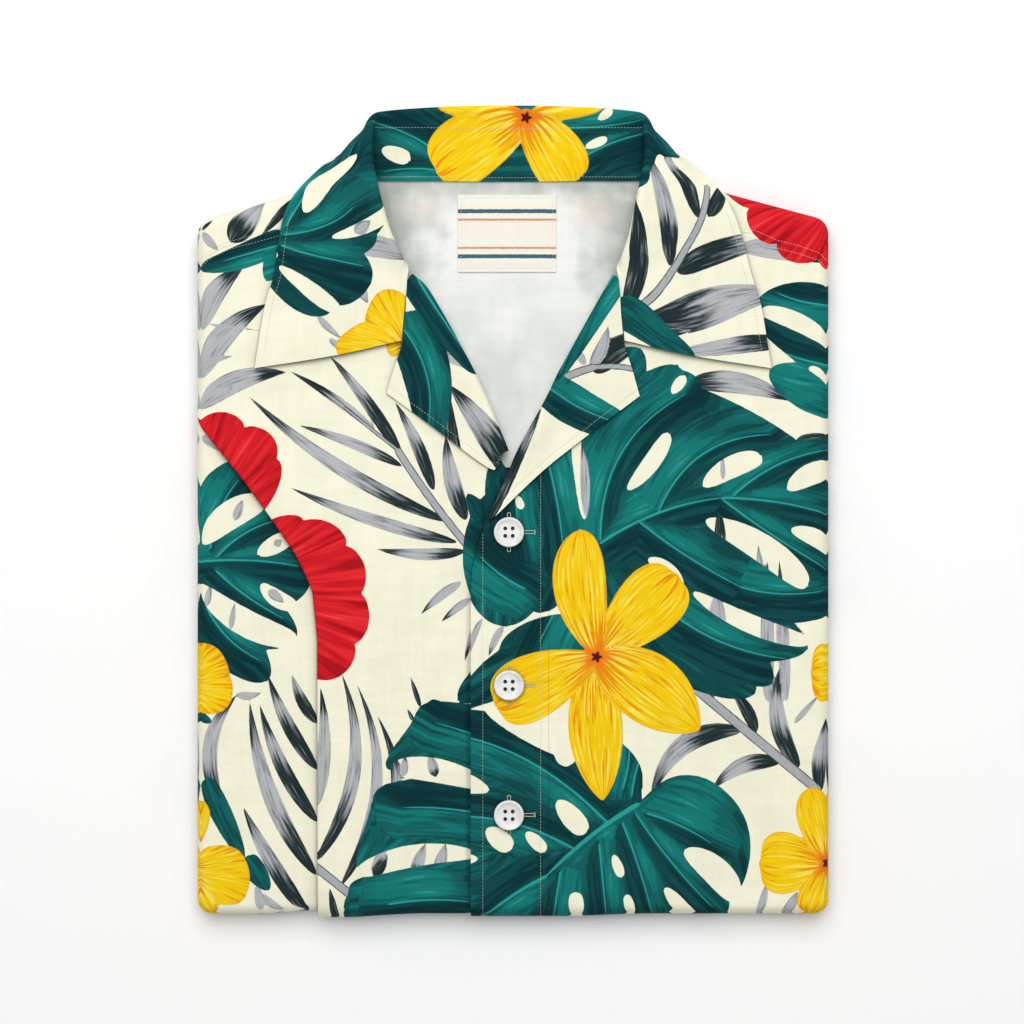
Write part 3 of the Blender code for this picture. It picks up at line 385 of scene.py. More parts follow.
sidePrint = {   # the lower layer of the cloth, beside the tuck
    "frond": (
        (317, 873, 251, 700, 17, -14, 0.35), (318, 820, 261, 704, 15, -7, 0.6),
        (318, 768, 269, 674, 14, -5, 0.6), (318, 722, 293, 674, 12, -3, 0.7),
        (220, 800, 238, 694, 17, -18, 0.3), (238, 694, 262, 692, 8, 2, 0),
        (309, 914, 244, 805, 16, -4, 0.5), (284, 912, 256, 888, 9, 0, 0), (262, 910, 258, 880, 9, 0, 0),
        (202, 437, 224, 452, 13, -3, 0), (236, 520, 244, 500, 9, 0, 0), (276, 545, 283, 540, 8, 0, 0),
        (270, 590, 285, 602, 10, 0, 0), (207, 606, 212, 585, 8, 0, 0), (232, 628, 236, 603, 6, 0, 0),
    ),
    "leaf": (
        (196, 570, 240, 462, 70, 0), (200, 565, 300, 500, 80, 0), (200, 567, 312, 580, 90, 0),
        (200, 570, 296, 640, 70, 6), (200, 575, 268, 680, 62, 8), (206, 778, 245, 858, 22, 0),
        (247, 856, 270, 888, 22, 0), (197, 714, 213, 721, 10, 0),
    ),
    "gap": (
        (202, 543, 264, 500, 28, -6), (259, 554, 292, 536, 18, 0), (262, 584, 296, 606, 17, 3),
        (199, 585, 296, 640, 27, 9),
    ),
    "midrib": ((196, 562, 300, 566, 2.2, -4),),
    "vein": (
        (219, 556, 275, 521, 1.9, -5), (218, 571, 285, 618, 1.9, 3), (212, 548, 240, 480, 1.9, -6),
        (205, 600, 262, 660, 1.9, 8),
    ),
    "petal": ((190, 850, 204, 800, 24, 0, 0.5), (190, 880, 215, 915, 24, 0, 0.5)),
    "yellowFan": (
        (172, 684, -64, 48, (47, 58, 61, 63, 59, 38), 2, 3),
        (176, 868, -36, 44, (42, 65, 73, 76, 73, 50), 1, 5),
    ),
}

collarPrint = {
    "stem": (
        (711, 186, 625, 314, 7.5, -17, 0.5),
    ),
    "frond": (
        (350, 250, 412, 262, 24, -6, 0), (358, 281, 369, 298, 10, 0, 0), (318, 306, 341, 329, 8, 0, 0),
        (330, 330, 346, 352, 8, 0, 0), (354, 235, 369, 222, 14, 0, 0), (624, 312, 636, 200, 20, 9, 1),
        (669, 270, 641, 150, 18, 12, 0.45), (700, 217, 643, 116, 15, 8, 0.55),
        (710, 216, 732, 186, 16, 0, 1), (676, 275, 790, 236, 24, -6, 0.62),
        (637, 323, 800, 298, 32, -10, 0.42), (674, 352, 812, 352, 20, -9, -0.55),
        (655, 330, 692, 318, 9, 0, 0.8),
    ),
    "leaf": (
        (278, 245, 368, 108, 80, -4), (285, 240, 386, 208, 70, 4), (282, 245, 376, 238, 56, 6),
        (272, 266, 334, 299, 34, 8), (290, 240, 392, 175, 90, 0),
        (320, 220, 396, 130, 90, 0), (612, 308, 694, 366, 38, -8),
    ),
    "lobe": (
        (446, 125, 350, 125, 60, 0), (446, 170, 360, 165, 60, 0), (560, 125, 660, 120, 60, 0),
        (560, 168, 650, 165, 60, 0), (400, 145, 655, 145, 84, 0),
    ),
    "round": ((276, 232, 372, 284, 58, 6),),
    "gap": (
        (302, 212, 358, 136, 27, -5), (331, 240, 400, 204, 15, 5), (280, 268, 340, 300, 13, 3),
        (382, 150, 410, 160, 16, 0), (585, 148, 607, 139, 9, 0), (598, 120, 612, 112, 8, 0),
    ),
    "vein": (
        (282, 236, 352, 207, 1.9, 7), (280, 247, 365, 270, 1.9, 3), (284, 228, 372, 120, 1.9, -8),
        (446, 160, 372, 124, 1.8, 6), (446, 172, 384, 172, 1.5, 3), (580, 160, 645, 135, 1.8, -4),
        (560, 128, 640, 122, 1.5, 2),
    ),
    "petal": (
        (526, 118, 438, 108, 20, 3, 0.5), (526, 118, 604, 108, 20, -3, 0.5),
        (526, 116, 437, 172, 68, 4, 0.25), (526, 116, 572, 184, 57, -3, 0.25),
    ),
    "yellowFan": ((412, 356, -190, -85, (72, 78, 73, 71, 54), 2, 10),),
    "heart": ((526, 118),), "swell": 0.5,
}

lapelPrint = {
    "stem": ((546, 389, 594, 368, 8, -2, 0), (590, 369, 640, 372, 6, -3, 0)),
    "frond": (
        (464, 534, 447, 383, 24, -4, 0.85), (514, 480, 449, 385, 25, 4, 0.5), (472, 367, 432, 357, 14, 4, 0),
        (592, 372, 652, 336, 26, -6, 0.95), (590, 368, 607, 328, 13, 3, 0), (584, 366, 574, 348, 8, 0, 0),
        (482, 528, 542, 410, 22, -4, 0.75),
    ),
    "leaf": (
        (402, 258, 478, 376, 34, 0), (404, 314, 430, 452, 50, -12), (634, 246, 554, 382, 38, 6),
        (540, 384, 646, 436, 40, 6),
    ),
    "vein": (
        (412, 272, 468, 360, 1.6, 0), (404, 330, 428, 430, 1.6, -12), (628, 258, 560, 376, 1.6, 4),
        (550, 390, 630, 426, 1.6, 5),
    ),
}


def strokeField(u, v, row, swell, taper):   # where points lie across and along one stroke
    u0, v0, u1, v1, width, bend = row[:6]
    length = math.hypot(u1 - u0, v1 - v0)
    ex, ey = (u1 - u0) / length, (v1 - v0) / length
    share = ((u - u0) * ex + (v - v0) * ey) / length
    inside = np.clip(share, 0.0, 1.0)
    slope = 4.0 * bend * (1.0 - 2.0 * inside) / length
    across = (v - v0) * ex - (u - u0) * ey - 4.0 * bend * inside * (1.0 - inside)
    across = across / np.sqrt(1.0 + slope ** 2)
    peak = swell / (swell + taper)
    widest = peak ** swell * (1.0 - peak) ** taper
    half = 0.5 * width * inside ** swell * (1.0 - inside) ** taper / widest
    beyond = np.maximum(-share, share - 1.0) * length
    near = np.where(beyond > 0.0, -np.hypot(beyond, across), half - np.abs(across))
    return across, half, near, inside, length


def nearStroke(u, v, row, reach=9.0):
    margin = row[4] / 2 + abs(row[5]) + reach
    return np.nonzero((u > min(row[0], row[2]) - margin) & (u < max(row[0], row[2]) + margin)
                      & (v > min(row[1], row[3]) - margin) & (v < max(row[1], row[3]) + margin))[0]


frondBrush = {   # tones go from 0, dark, to 1, light; shares run from a stroke's base to its tip
    "fromBase": (-0.22, 0.14), "fromTip": (0.85, 1.2), "darkTip": (0.66, 0.9), "tipDepth": (0.3, 0.9),
    "longStroke": 70.0,
}
leafBrush = {
    "tone": 0.48, "toneWeight": 1.0 / 700.0, "veinTone": 0.5, "lightSide": 0.4, "sideWidth": 7.0,
    "darkEnd": 0.2, "endSpan": (0.4, 1.0), "veinReach": 54.0, "veinSoftness": 6.0, "veinLimit": 30.0,
    "drawnWithin": 3.0,
}


def paintFronds(u, v, motifs, shape, stem, brush):
    for number, row in enumerate(motifs.get("frond", ())):
        pick = nearStroke(u, v, row)
        across, half, near, share, length = strokeField(u[pick], v[pick], row, *strokeKinds["frond"])
        dark = row[6]
        if dark > 0:
            tone = ease(share, *np.add(frondBrush["fromBase"], dark))
        else:
            tone = 1.0 - ease(share, *np.add(frondBrush["fromTip"], dark))
        depth = frondBrush["tipDepth"][length > frondBrush["longStroke"]]
        tone = tone * (1.0 - depth * ease(share, *frondBrush["darkTip"]))
        over = (near > shape[pick, 2]) | (near > 0.0)
        shape[pick[over]] = np.stack([across, half, np.maximum(near, shape[pick, 2])], axis=1)[over]
        side = across / np.maximum(half, 1.0) * row[4] / 2
        brush[pick[over]] = np.stack([side, share * length + number * 17 % 60, tone], axis=1)[over]
    for row in motifs.get("stem", ()):
        pick = nearStroke(u, v, row)
        across, half, near = strokeField(u[pick], v[pick], row, *strokeKinds["stem"])[:3]
        closer = near > stem[pick, 2]
        stem[pick[closer]] = np.stack([across, half, near], axis=1)[closer]


def paintLeaves(u, v, motifs, shape, midrib, brush):
    for kind in ("leaf", "lobe", "round"):
        for row in motifs.get(kind, ()):
            pick = nearStroke(u, v, row)
            across, _, near, share, length = strokeField(u[pick], v[pick], row, *strokeKinds[kind])
            over = near > shape[pick, 0]
            brush[pick[over], 0], brush[pick[over], 1] = across[over], (share * length)[over]
            shape[pick, 0] = np.maximum(shape[pick, 0], near)
    for row in motifs.get("gap", ()):
        pick = nearStroke(u, v, row)
        near = strokeField(u[pick], v[pick], row, *strokeKinds["gap"])[2]
        shape[pick, 0] = np.minimum(shape[pick, 0], -near)
    weight = np.full(len(u), leafBrush["toneWeight"])
    tones = weight * leafBrush["tone"]
    nearest = np.full(len(u), leafBrush["veinLimit"])
    for kind, target in (("midrib", midrib), ("vein", shape)):   # kept apart, so that they join cleanly
        best = np.full(len(u), leafBrush["veinLimit"])
        for row in motifs.get(kind, ()):
            pick = nearStroke(u, v, (*row[:4], 0, row[5]), leafBrush["veinReach"])
            across, half, near, share, length = strokeField(u[pick], v[pick], row, *strokeKinds["vein"])
            away = np.where(near > 0.0, 0.0, -near)
            pull = 1.0 / (away ** 2 + leafBrush["veinSoftness"])
            weight[pick] += pull
            lit = leafBrush["lightSide"] * np.clip(across / leafBrush["sideWidth"], -1.0, 1.0)
            tones[pick] += pull * (leafBrush["veinTone"] - lit
                                   - leafBrush["darkEnd"] * ease(share, *leafBrush["endSpan"]))
            closer = away < nearest[pick]
            brush[pick[closer], 0], brush[pick[closer], 1] = across[closer], (share * length)[closer]
            nearest[pick[closer]] = away[closer]
            closer = away < best[pick]
            drawn = (away < leafBrush["drawnWithin"]) & (np.abs(across) + near < half + 0.01)
            target[pick[closer], 1] = across[closer]
            target[pick[closer], 2] = np.where(drawn, half, -10.0)[closer]
            best[pick[closer]] = away[closer]
    brush[:, 2] = tones / weight


flowerBrush = {
    "scallop": 0.6, "seen": -8.0, "swell": 0.8, "heartReach": 40.0, "heartRadius": 8.0,
}


def paintFans(u, v, rows, shape, brush, red):
    for cu, cv, first, last, reaches, ruffles, depth in rows:
        rim = throughPoints(np.stack([np.linspace(first, last, len(reaches)), reaches], axis=1), 12)
        turns = (rim[:, 0] - first) / (last - first) * ruffles * math.pi
        rim[:, 1] -= depth * (1.0 - np.abs(np.sin(turns)) ** flowerBrush["scallop"])
        middle = math.radians(rim[:, 0].mean())
        angle = np.arctan2(v - cv, u - cu) - middle
        angle = np.degrees((angle + math.pi) % (2 * math.pi) - math.pi + middle)
        radius = np.hypot(u - cu, v - cv)
        reach = np.interp(angle, rim[:, 0], rim[:, 1])
        beside = (angle < rim[0, 0]) | (angle > rim[-1, 0])
        near = np.where(beside, fieldStarts["flowerShape"][0], reach - radius)
        over = near > np.maximum(shape[:, 0], flowerBrush["seen"])
        shape[over] = np.stack([near, near, np.full_like(near, red)], axis=1)[over]
        side = np.radians(angle) * rim[:, 1].mean()
        brush[over] = np.stack([side, radius, radius / reach], axis=1)[over]


def paintFlowers(u, v, motifs, shape, brush, heart):
    for kind, red in (("fan", 1.0), ("yellowFan", 0.0)):
        paintFans(u, v, motifs.get(kind, ()), shape, brush, red)
    swell = motifs.get("swell", flowerBrush["swell"])
    for number, row in enumerate(motifs.get("petal", ())):
        pick = nearStroke(u, v, row)
        across, half, near, share, length = strokeField(u[pick], v[pick], row, swell, row[6])
        over = (near > shape[pick, 0]) | (near > 0.0)
        shape[pick[over], 1] = near[over]
        shape[pick[over], 2] = 0.0
        shape[pick, 0] = np.maximum(shape[pick, 0], near)
        side = across / np.maximum(half, 1.0) * row[4] / 2 + number * 31 % 60
        brush[pick[over]] = np.stack([side, share * length, share], axis=1)[over]
    for hu, hv in motifs.get("heart", ()):
        away = np.hypot(u - hu, v - hv)
        close = away < flowerBrush["heartReach"]
        heart[close, 0], heart[close, 1] = (u - hu)[close], (v - hv)[close]
        shape[:, 0] = np.maximum(shape[:, 0], flowerBrush["heartRadius"] - away)


fieldStarts = {   # what each stored field holds where nothing is printed
    "frondShape": (0.0, 0.0, -20.0), "frondBrush": (0.0, 0.0, 0.0), "stemShape": (0.0, 0.0, -20.0),
    "leafShape": (-20.0, 0.0, -10.0), "leafBrush": (0.0, 0.0, 0.0), "leafMidrib": (0.0, 0.0, -10.0),
    "flowerShape": (-20.0, 0.0, 0.0), "flowerBrush": (0.0, 0.0, 0.0), "flowerHeart": (99.0, 99.0, 0.0),
}


def printFields(u, v, motifs):
    u, v = u.ravel(), v.ravel()
    fields = {name: np.tile(start, (len(u), 1)) for name, start in fieldStarts.items()}
    paintFronds(u, v, motifs, fields["frondShape"], fields["stemShape"], fields["frondBrush"])
    paintLeaves(u, v, motifs, fields["leafShape"], fields["leafMidrib"], fields["leafBrush"])
    paintFlowers(u, v, motifs, fields["flowerShape"], fields["flowerBrush"], fields["flowerHeart"])
    return fields


printLayout = {"scale": 2.0, "middle": (513.0, 511.5), "sides": (199.0, 828.0), "foot": 914.0}


def printPlace(flat, turned=True):   # millimetres of the cloth to the print, turned back at the pack's edges
    scale, (middleU, middleV) = printLayout["scale"], printLayout["middle"]
    u, v = middleU + scale * flat[..., 0], middleV - scale * flat[..., 1]
    if turned:
        left, right = printLayout["sides"]
        u = np.where(u < left, 2 * left - u, np.where(u > right, 2 * right - u, u))
        v = np.where(v > printLayout["foot"], 2 * printLayout["foot"] - v, v)
    return u, v


def applyPrint(piece, source, fields):
    for name, values in fields.items():
        stored = piece.data.attributes.new(name, "FLOAT_VECTOR", "POINT")
        stored.data.foreach_set("vector", values[source].astype(np.float32).ravel())


def dye(piece, source, flat, motifs, turned=True):
    applyPrint(piece, source, printFields(*printPlace(flat, turned), motifs))


def tint(code):   # a screen colour as the renderer's linear one
    parts = [int(code[k:k + 2], 16) / 255.0 for k in (0, 2, 4)]
    return tuple(p / 12.92 if p <= 0.04045 else ((p + 0.055) / 1.055) ** 2.4 for p in parts) + (1.0,)


def addNode(tree, kind, inputs=None, **settings):
    made = tree.nodes.new(kind)
    for key, value in settings.items():
        setattr(made, key, value)
    for key, value in (inputs or {}).items():
        if isinstance(value, bpy.types.NodeSocket):
            tree.links.new(value, made.inputs[key])
        else:
            made.inputs[key].default_value = value
    return made


def calc(tree, operation, first, second=0.0, third=0.0):
    return addNode(tree, "ShaderNodeMath", {0: first, 1: second, 2: third}, operation=operation).outputs[0]


def remap(tree, value, low, high, start=0.0, end=1.0):
    return addNode(tree, "ShaderNodeMapRange", {0: value, 1: low, 2: high, 3: start, 4: end}).outputs[0]


def blendColour(tree, share, first, second):
    made = addNode(tree, "ShaderNodeMix", {0: share, 6: first, 7: second}, data_type="RGBA")
    return made.outputs[2]


def vectorOf(tree, x=0.0, y=0.0, z=0.0):
    return addNode(tree, "ShaderNodeCombineXYZ", {0: x, 1: y, 2: z}).outputs[0]


def noiseOf(tree, vector, scale, detail=2.0, roughness=0.5):
    return addNode(tree, "ShaderNodeTexNoise", {"Vector": vector, "Scale": scale, "Detail": detail,
                                                "Roughness": roughness}).outputs[0]


def objectPlace(tree):
    return addNode(tree, "ShaderNodeTexCoord").outputs["Object"]


def storedParts(tree, name):
    stored = addNode(tree, "ShaderNodeAttribute", attribute_name=name).outputs["Vector"]
    return addNode(tree, "ShaderNodeSeparateXYZ", {0: stored}).outputs


def rampOf(tree, value, stops, sharp="LINEAR"):
    made = addNode(tree, "ShaderNodeValToRGB", {0: value})
    made.color_ramp.interpolation = sharp
    elements = made.color_ramp.elements
    while len(elements) < len(stops):
        elements.new(0.5)
    for element, (where, code) in zip(elements, stops):
        element.position = where
    for element, (where, code) in zip(elements, stops):
        element.color = tint(code)
    return made.outputs[0]


def newGroup(name, inputs, outputs):
    tree = bpy.data.node_groups.new(name, "ShaderNodeTree")
    for label, kind, value in inputs:
        socket = tree.interface.new_socket(label, in_out="INPUT", socket_type=kind)
        if value is not None:
            socket.default_value = value
    for label, kind in outputs:
        tree.interface.new_socket(label, in_out="OUTPUT", socket_type=kind)
    return tree, tree.nodes.new("NodeGroupInput").outputs, tree.nodes.new("NodeGroupOutput").inputs


def useGroup(tree, group, inputs):
    return addNode(tree, "ShaderNodeGroup", inputs, node_tree=group).outputs


def squareRoot(tree, x, y):   # the length of x and y together
    squares = calc(tree, "ADD", calc(tree, "MULTIPLY", x, x), calc(tree, "MULTIPLY", y, y))
    return calc(tree, "SQRT", squares)


def insideOf(tree, half, across):   # how far inside a stroke's half width a point is
    return calc(tree, "SUBTRACT", half, calc(tree, "ABSOLUTE", across))


def bumpOn(tree, shader, height, distance, strength):
    bump = addNode(tree, "ShaderNodeBump", {"Height": height, "Distance": distance, "Strength": strength})
    tree.links.new(bump.outputs[0], shader.inputs["Normal"])


def clothWeave():   # threads both ways, with slubs; the height of the cloth's face
    tree, given, result = newGroup("clothWeave", (
        ("Place", "NodeSocketVector", None), ("Threads", "NodeSocketFloat", 1900.0),
        ("Slubs", "NodeSocketFloat", 0.5)),
        (("Height", "NodeSocketFloat"), ("Slub", "NodeSocketFloat")))
    threads = []
    for stretch in ((1.0, 0.13, 1.0), (0.13, 1.0, 1.0)):
        way = addNode(tree, "ShaderNodeVectorMath", {0: given["Place"], 1: stretch}, operation="MULTIPLY")
        threads.append(noiseOf(tree, way.outputs[0], given["Threads"], 1.0))
        threads.append(noiseOf(tree, way.outputs[0], calc(tree, "MULTIPLY", given["Threads"], 0.16), 2.0))
    fine = calc(tree, "MAXIMUM", threads[0], threads[2])
    slub = calc(tree, "ADD", threads[1], threads[3])
    total = calc(tree, "MULTIPLY_ADD", slub, given["Slubs"], fine)
    tree.links.new(total, result["Height"])
    tree.links.new(remap(tree, slub, 0.75, 1.25), result["Slub"])
    return tree


def brushStreaks():   # streaks that run along a brush stroke
    tree, given, result = newGroup("brushStreaks", (
        ("Sideways", "NodeSocketFloat", 0.0), ("Along", "NodeSocketFloat", 0.0),
        ("Fineness", "NodeSocketFloat", 0.35), ("Stretch", "NodeSocketFloat", 0.08),
        ("Shift", "NodeSocketFloat", 0.0), ("Detail", "NodeSocketFloat", 2.5)),
        (("Streak", "NodeSocketFloat"),))
    across = calc(tree, "MULTIPLY", given["Sideways"], given["Fineness"])
    along = calc(tree, "MULTIPLY", given["Along"], given["Fineness"])
    along = calc(tree, "MULTIPLY", along, given["Stretch"])
    value = noiseOf(tree, vectorOf(tree, across, along, given["Shift"]), 1.0, given["Detail"], 0.55)
    tree.links.new(remap(tree, value, 0.3, 0.7), result["Streak"])
    return tree


def inkEdge():   # a crisp, slightly uneven printed edge from a distance inside the shape
    tree, given, result = newGroup("inkEdge", (
        ("Inside", "NodeSocketFloat", 0.0), ("Place", "NodeSocketVector", None),
        ("Unevenness", "NodeSocketFloat", 1.2), ("Softness", "NodeSocketFloat", 0.45)),
        (("Mask", "NodeSocketFloat"),))
    rough = calc(tree, "SUBTRACT", noiseOf(tree, given["Place"], 320.0, 2.0), 0.5)
    moved = calc(tree, "MULTIPLY_ADD", rough, given["Unevenness"], given["Inside"])
    soft = calc(tree, "DIVIDE", moved, given["Softness"])
    tree.links.new(remap(tree, soft, -0.5, 0.5), result["Mask"])
    return tree


groups = {"weave": clothWeave(), "streaks": brushStreaks(), "edge": inkEdge()}

printInks = {
    "ground": ("f5f3da", "efedd3"),
    "leaf": ((0.0, "073034"), (0.2, "0b3a3e"), (0.24, "0f4447"), (0.42, "104a4a"), (0.46, "115b5a"),
             (0.62, "136462"), (0.66, "14736e"), (0.86, "187d77"), (0.9, "2a8f88")),
    "vein": "2b9c94",
    "frond": ((0.0, "1c2b2e"), (0.3, "2b393b"), (0.35, "4b5557"), (0.46, "6a7073"), (0.5, "7f8487"),
              (0.62, "94979b"), (0.66, "a6a8ab"), (0.9, "b6b8ba")),
    "yellow": ("eebd0e", "f8d716"), "paleStreak": "f9e76c", "orange": "e4870f",
    "red": ((0.0, "a3111a"), (0.26, "b0141d"), (0.32, "c61a23"), (0.52, "cf1d26"), (0.6, "db262d"),
            (0.8, "e22b31"), (0.88, "f04045")),
    "rim": "dd8c18", "middle": "ee7f18", "star": "521818",
}


def newMaterial(name, roughness, sheen=0.0, specular=0.3):
    made = bpy.data.materials.new(name)
    made.use_nodes = True
    tree = made.node_tree
    tree.nodes.clear()
    shader = tree.nodes.new("ShaderNodeBsdfPrincipled")
    output = tree.nodes.new("ShaderNodeOutputMaterial")
    tree.links.new(shader.outputs[0], output.inputs[0])
    shader.inputs["Roughness"].default_value = roughness
    shader.inputs["Sheen Weight"].default_value = sheen
    shader.inputs["Specular IOR Level"].default_value = specular
    return made, tree, shader


def weaveBump(tree, shader, place, threads, slubs, distance, strength):
    weave = useGroup(tree, groups["weave"], {"Place": place, "Threads": threads, "Slubs": slubs})
    limp = noiseOf(tree, place, 26.0, 2.0)
    bumpOn(tree, shader, calc(tree, "MULTIPLY_ADD", limp, 1.6, weave["Height"]), distance, strength)
    return weave


def dyedWeave(tree, shader, colour, slub, shade=None):   # slubs and shade change the colour's value
    value = remap(tree, slub, 0.0, 1.0, 0.965, 1.02)
    if shade is not None:
        value = calc(tree, "MULTIPLY", value, shade)
    woven = addNode(tree, "ShaderNodeHueSaturation", {"Color": colour, "Value": value})
    tree.links.new(woven.outputs[0], shader.inputs["Base Color"])


brushStrokes = {   # fineness, stretch, shift and detail of the streaks
    "frond": (0.42, 0.07, 3.0, 2.5), "leaf": (0.16, 0.09, 7.0, 1.3), "petal": (0.42, 0.05, 11.0, 2.5),
    "petalWide": (0.28, 0.05, 17.0, 2.5), "ruffle": (0.15, 0.07, 23.0, 1.5),
}


def inkMask(tree, place, inside, unevenness=0.8, softness=0.5):
    return useGroup(tree, groups["edge"], {"Inside": inside, "Place": place, "Unevenness": unevenness,
                                           "Softness": softness})["Mask"]


def streaksOf(tree, brush, kind):
    fineness, stretch, shift, detail = brushStrokes[kind]
    return useGroup(tree, groups["streaks"], {"Sideways": brush[0], "Along": brush[1], "Fineness": fineness,
                                              "Stretch": stretch, "Shift": shift, "Detail": detail})["Streak"]


def frondInk(tree, place, colour):   # the fronds and over them their stems
    brush, stem = storedParts(tree, "frondBrush"), storedParts(tree, "stemShape")
    streak = streaksOf(tree, brush, "frond")
    frondTone = calc(tree, "ADD", calc(tree, "MULTIPLY", brush[2], 0.62),
                     calc(tree, "MULTIPLY_ADD", streak, 0.66, -0.14))
    body = remap(tree, insideOf(tree, stem[1], stem[0]), 0.3, 1.5)
    stemTone = calc(tree, "MULTIPLY_ADD", body, 0.42, calc(tree, "MULTIPLY_ADD", streak, 0.24, 0.18))
    for (across, half, near), tone in ((storedParts(tree, "frondShape"), frondTone), (stem, stemTone)):
        inside = calc(tree, "MINIMUM", insideOf(tree, half, across), calc(tree, "ADD", near, 0.5))
        ink = rampOf(tree, tone, printInks["frond"])
        colour = blendColour(tree, inkMask(tree, place, inside), colour, ink)
    return colour


def leafInk(tree, place, colour):
    leafNear, veinAcross, veinHalf = storedParts(tree, "leafShape")
    brush = storedParts(tree, "leafBrush")
    leafMask = inkMask(tree, place, leafNear, 0.9)
    tone = calc(tree, "ADD", calc(tree, "MULTIPLY", brush[2], 0.85),
                calc(tree, "MULTIPLY_ADD", streaksOf(tree, brush, "leaf"), 0.5, -0.2))
    colour = blendColour(tree, leafMask, colour, rampOf(tree, tone, printInks["leaf"]))
    midribAcross, midribHalf = storedParts(tree, "leafMidrib")[1:]
    vein = inkMask(tree, place, insideOf(tree, veinHalf, veinAcross), 0.5)
    midrib = inkMask(tree, place, insideOf(tree, midribHalf, midribAcross), 0.8)
    drawn = calc(tree, "MULTIPLY", calc(tree, "MAXIMUM", vein, midrib), leafMask)
    return blendColour(tree, drawn, colour, tint(printInks["vein"]))


def yellowInk(tree, place, brush, rim):   # pale streaks outwards, orange from the heart and at the tips
    fine, wide = streaksOf(tree, brush, "petal"), streaksOf(tree, brush, "petalWide")
    reach = brush[2]
    pale = calc(tree, "MULTIPLY", remap(tree, fine, 0.6, 0.78), remap(tree, reach, 0.98, 0.7))
    inward = calc(tree, "MULTIPLY_ADD", calc(tree, "SUBTRACT", 0.5, fine), 0.75,
                  calc(tree, "SUBTRACT", 0.27, reach))
    outward = calc(tree, "MULTIPLY_ADD", calc(tree, "SUBTRACT", wide, 0.5), 0.9,
                   calc(tree, "SUBTRACT", reach, 1.02))
    strokes = calc(tree, "MAXIMUM", remap(tree, inward, -0.02, 0.08), remap(tree, outward, -0.02, 0.1))
    atRim = calc(tree, "SUBTRACT", 1.0, inkMask(tree, place, calc(tree, "SUBTRACT", rim, 1.1), 1.8, 1.2))
    yellow = blendColour(tree, fine, *(tint(code) for code in printInks["yellow"]))
    for mask, strength, ink in ((pale, 0.8, "paleStreak"), (strokes, 0.85, "orange"), (atRim, 0.4, "rim")):
        yellow = blendColour(tree, calc(tree, "MULTIPLY", mask, strength), yellow, tint(printInks[ink]))
    return yellow


def flowerInk(tree, place, colour):
    flowerNear, rim, red = storedParts(tree, "flowerShape")
    brush = storedParts(tree, "flowerBrush")
    redTone = calc(tree, "MULTIPLY_ADD", streaksOf(tree, brush, "ruffle"), 0.8,
                   calc(tree, "MULTIPLY_ADD", brush[2], -0.25, 0.3))
    yellow = yellowInk(tree, place, brush, rim)
    petals = blendColour(tree, red, yellow, rampOf(tree, redTone, printInks["red"]))
    heart = storedParts(tree, "flowerHeart")
    around = calc(tree, "ARCTAN2", heart[1], heart[0])
    points = calc(tree, "MULTIPLY_ADD", calc(tree, "COSINE", calc(tree, "MULTIPLY", around, 5.0)), 0.28, 1.0)
    star = calc(tree, "DIVIDE", squareRoot(tree, heart[0], heart[1]), points)
    for outer, inner, ink in ((17.0, 8.0, "middle"), (5.4, 3.8, "star")):
        petals = blendColour(tree, remap(tree, star, outer, inner), petals, tint(printInks[ink]))
    return blendColour(tree, inkMask(tree, place, flowerNear, 0.9), colour, petals)


contact = {   # soft shade where another layer lies close: how far it is felt (mm), and how dark it gets
    "reach": 8.0, "openness": (0.35, 0.92), "darkest": 0.35,
}


def printedCloth():
    made, tree, shader = newMaterial("printedCloth", 0.84, 0.0, 0.06)
    place = objectPlace(tree)
    weave = weaveBump(tree, shader, place, 1900.0, 0.5, 0.00016, 0.5)
    mottle = noiseOf(tree, place, 60.0, 3.0)
    colour = blendColour(tree, remap(tree, mottle, 0.35, 0.7), *(tint(code) for code in printInks["ground"]))
    for ink in (frondInk, leafInk, flowerInk):
        colour = ink(tree, place, colour)
    nearby = addNode(tree, "ShaderNodeAmbientOcclusion", {"Distance": contact["reach"] * mm}, samples=8)
    shade = remap(tree, nearby.outputs["AO"], *contact["openness"], contact["darkest"], 1.0)
    dyedWeave(tree, shader, colour, weave["Slub"], shade)
    tree.links.new(remap(tree, mottle, 0.3, 0.7, 0.78, 0.88), shader.inputs["Roughness"])
    return made


insideLook = {   # inks that show through the back, and painted shade greying it under the collar band and towards the sides: x, y, half width, half length (mm), share and colour
    "showThroughAndShade": (
        (-6, 66, 16, 17, 0.42, "bcc4c4"), (14, 88, 13, 14, 0.4, "cdd3d2"), (-20, 96, 11, 12, 0.4, "d6dad8"),
        # the three broad grey patches, at x -66 and 64 and under the band at y 174, are painted shade below
        # the collar, mixed with faint ink showing through
        (2, 112, 20, 7, 0.4, "dbdedb"), (-6, 48, 9, 12, 0.4, "cfd5d4"), (-66, 136, 22, 36, 0.85, "a6ada6"),
        (64, 136, 22, 36, 0.8, "a6ada6"), (0, 174, 80, 18, 0.85, "acb2ab"), (38, 150, 12, 7, 0.4, "efe0d2"),
        (-44, 152, 12, 7, 0.4, "efe3d6"),
    ),
}


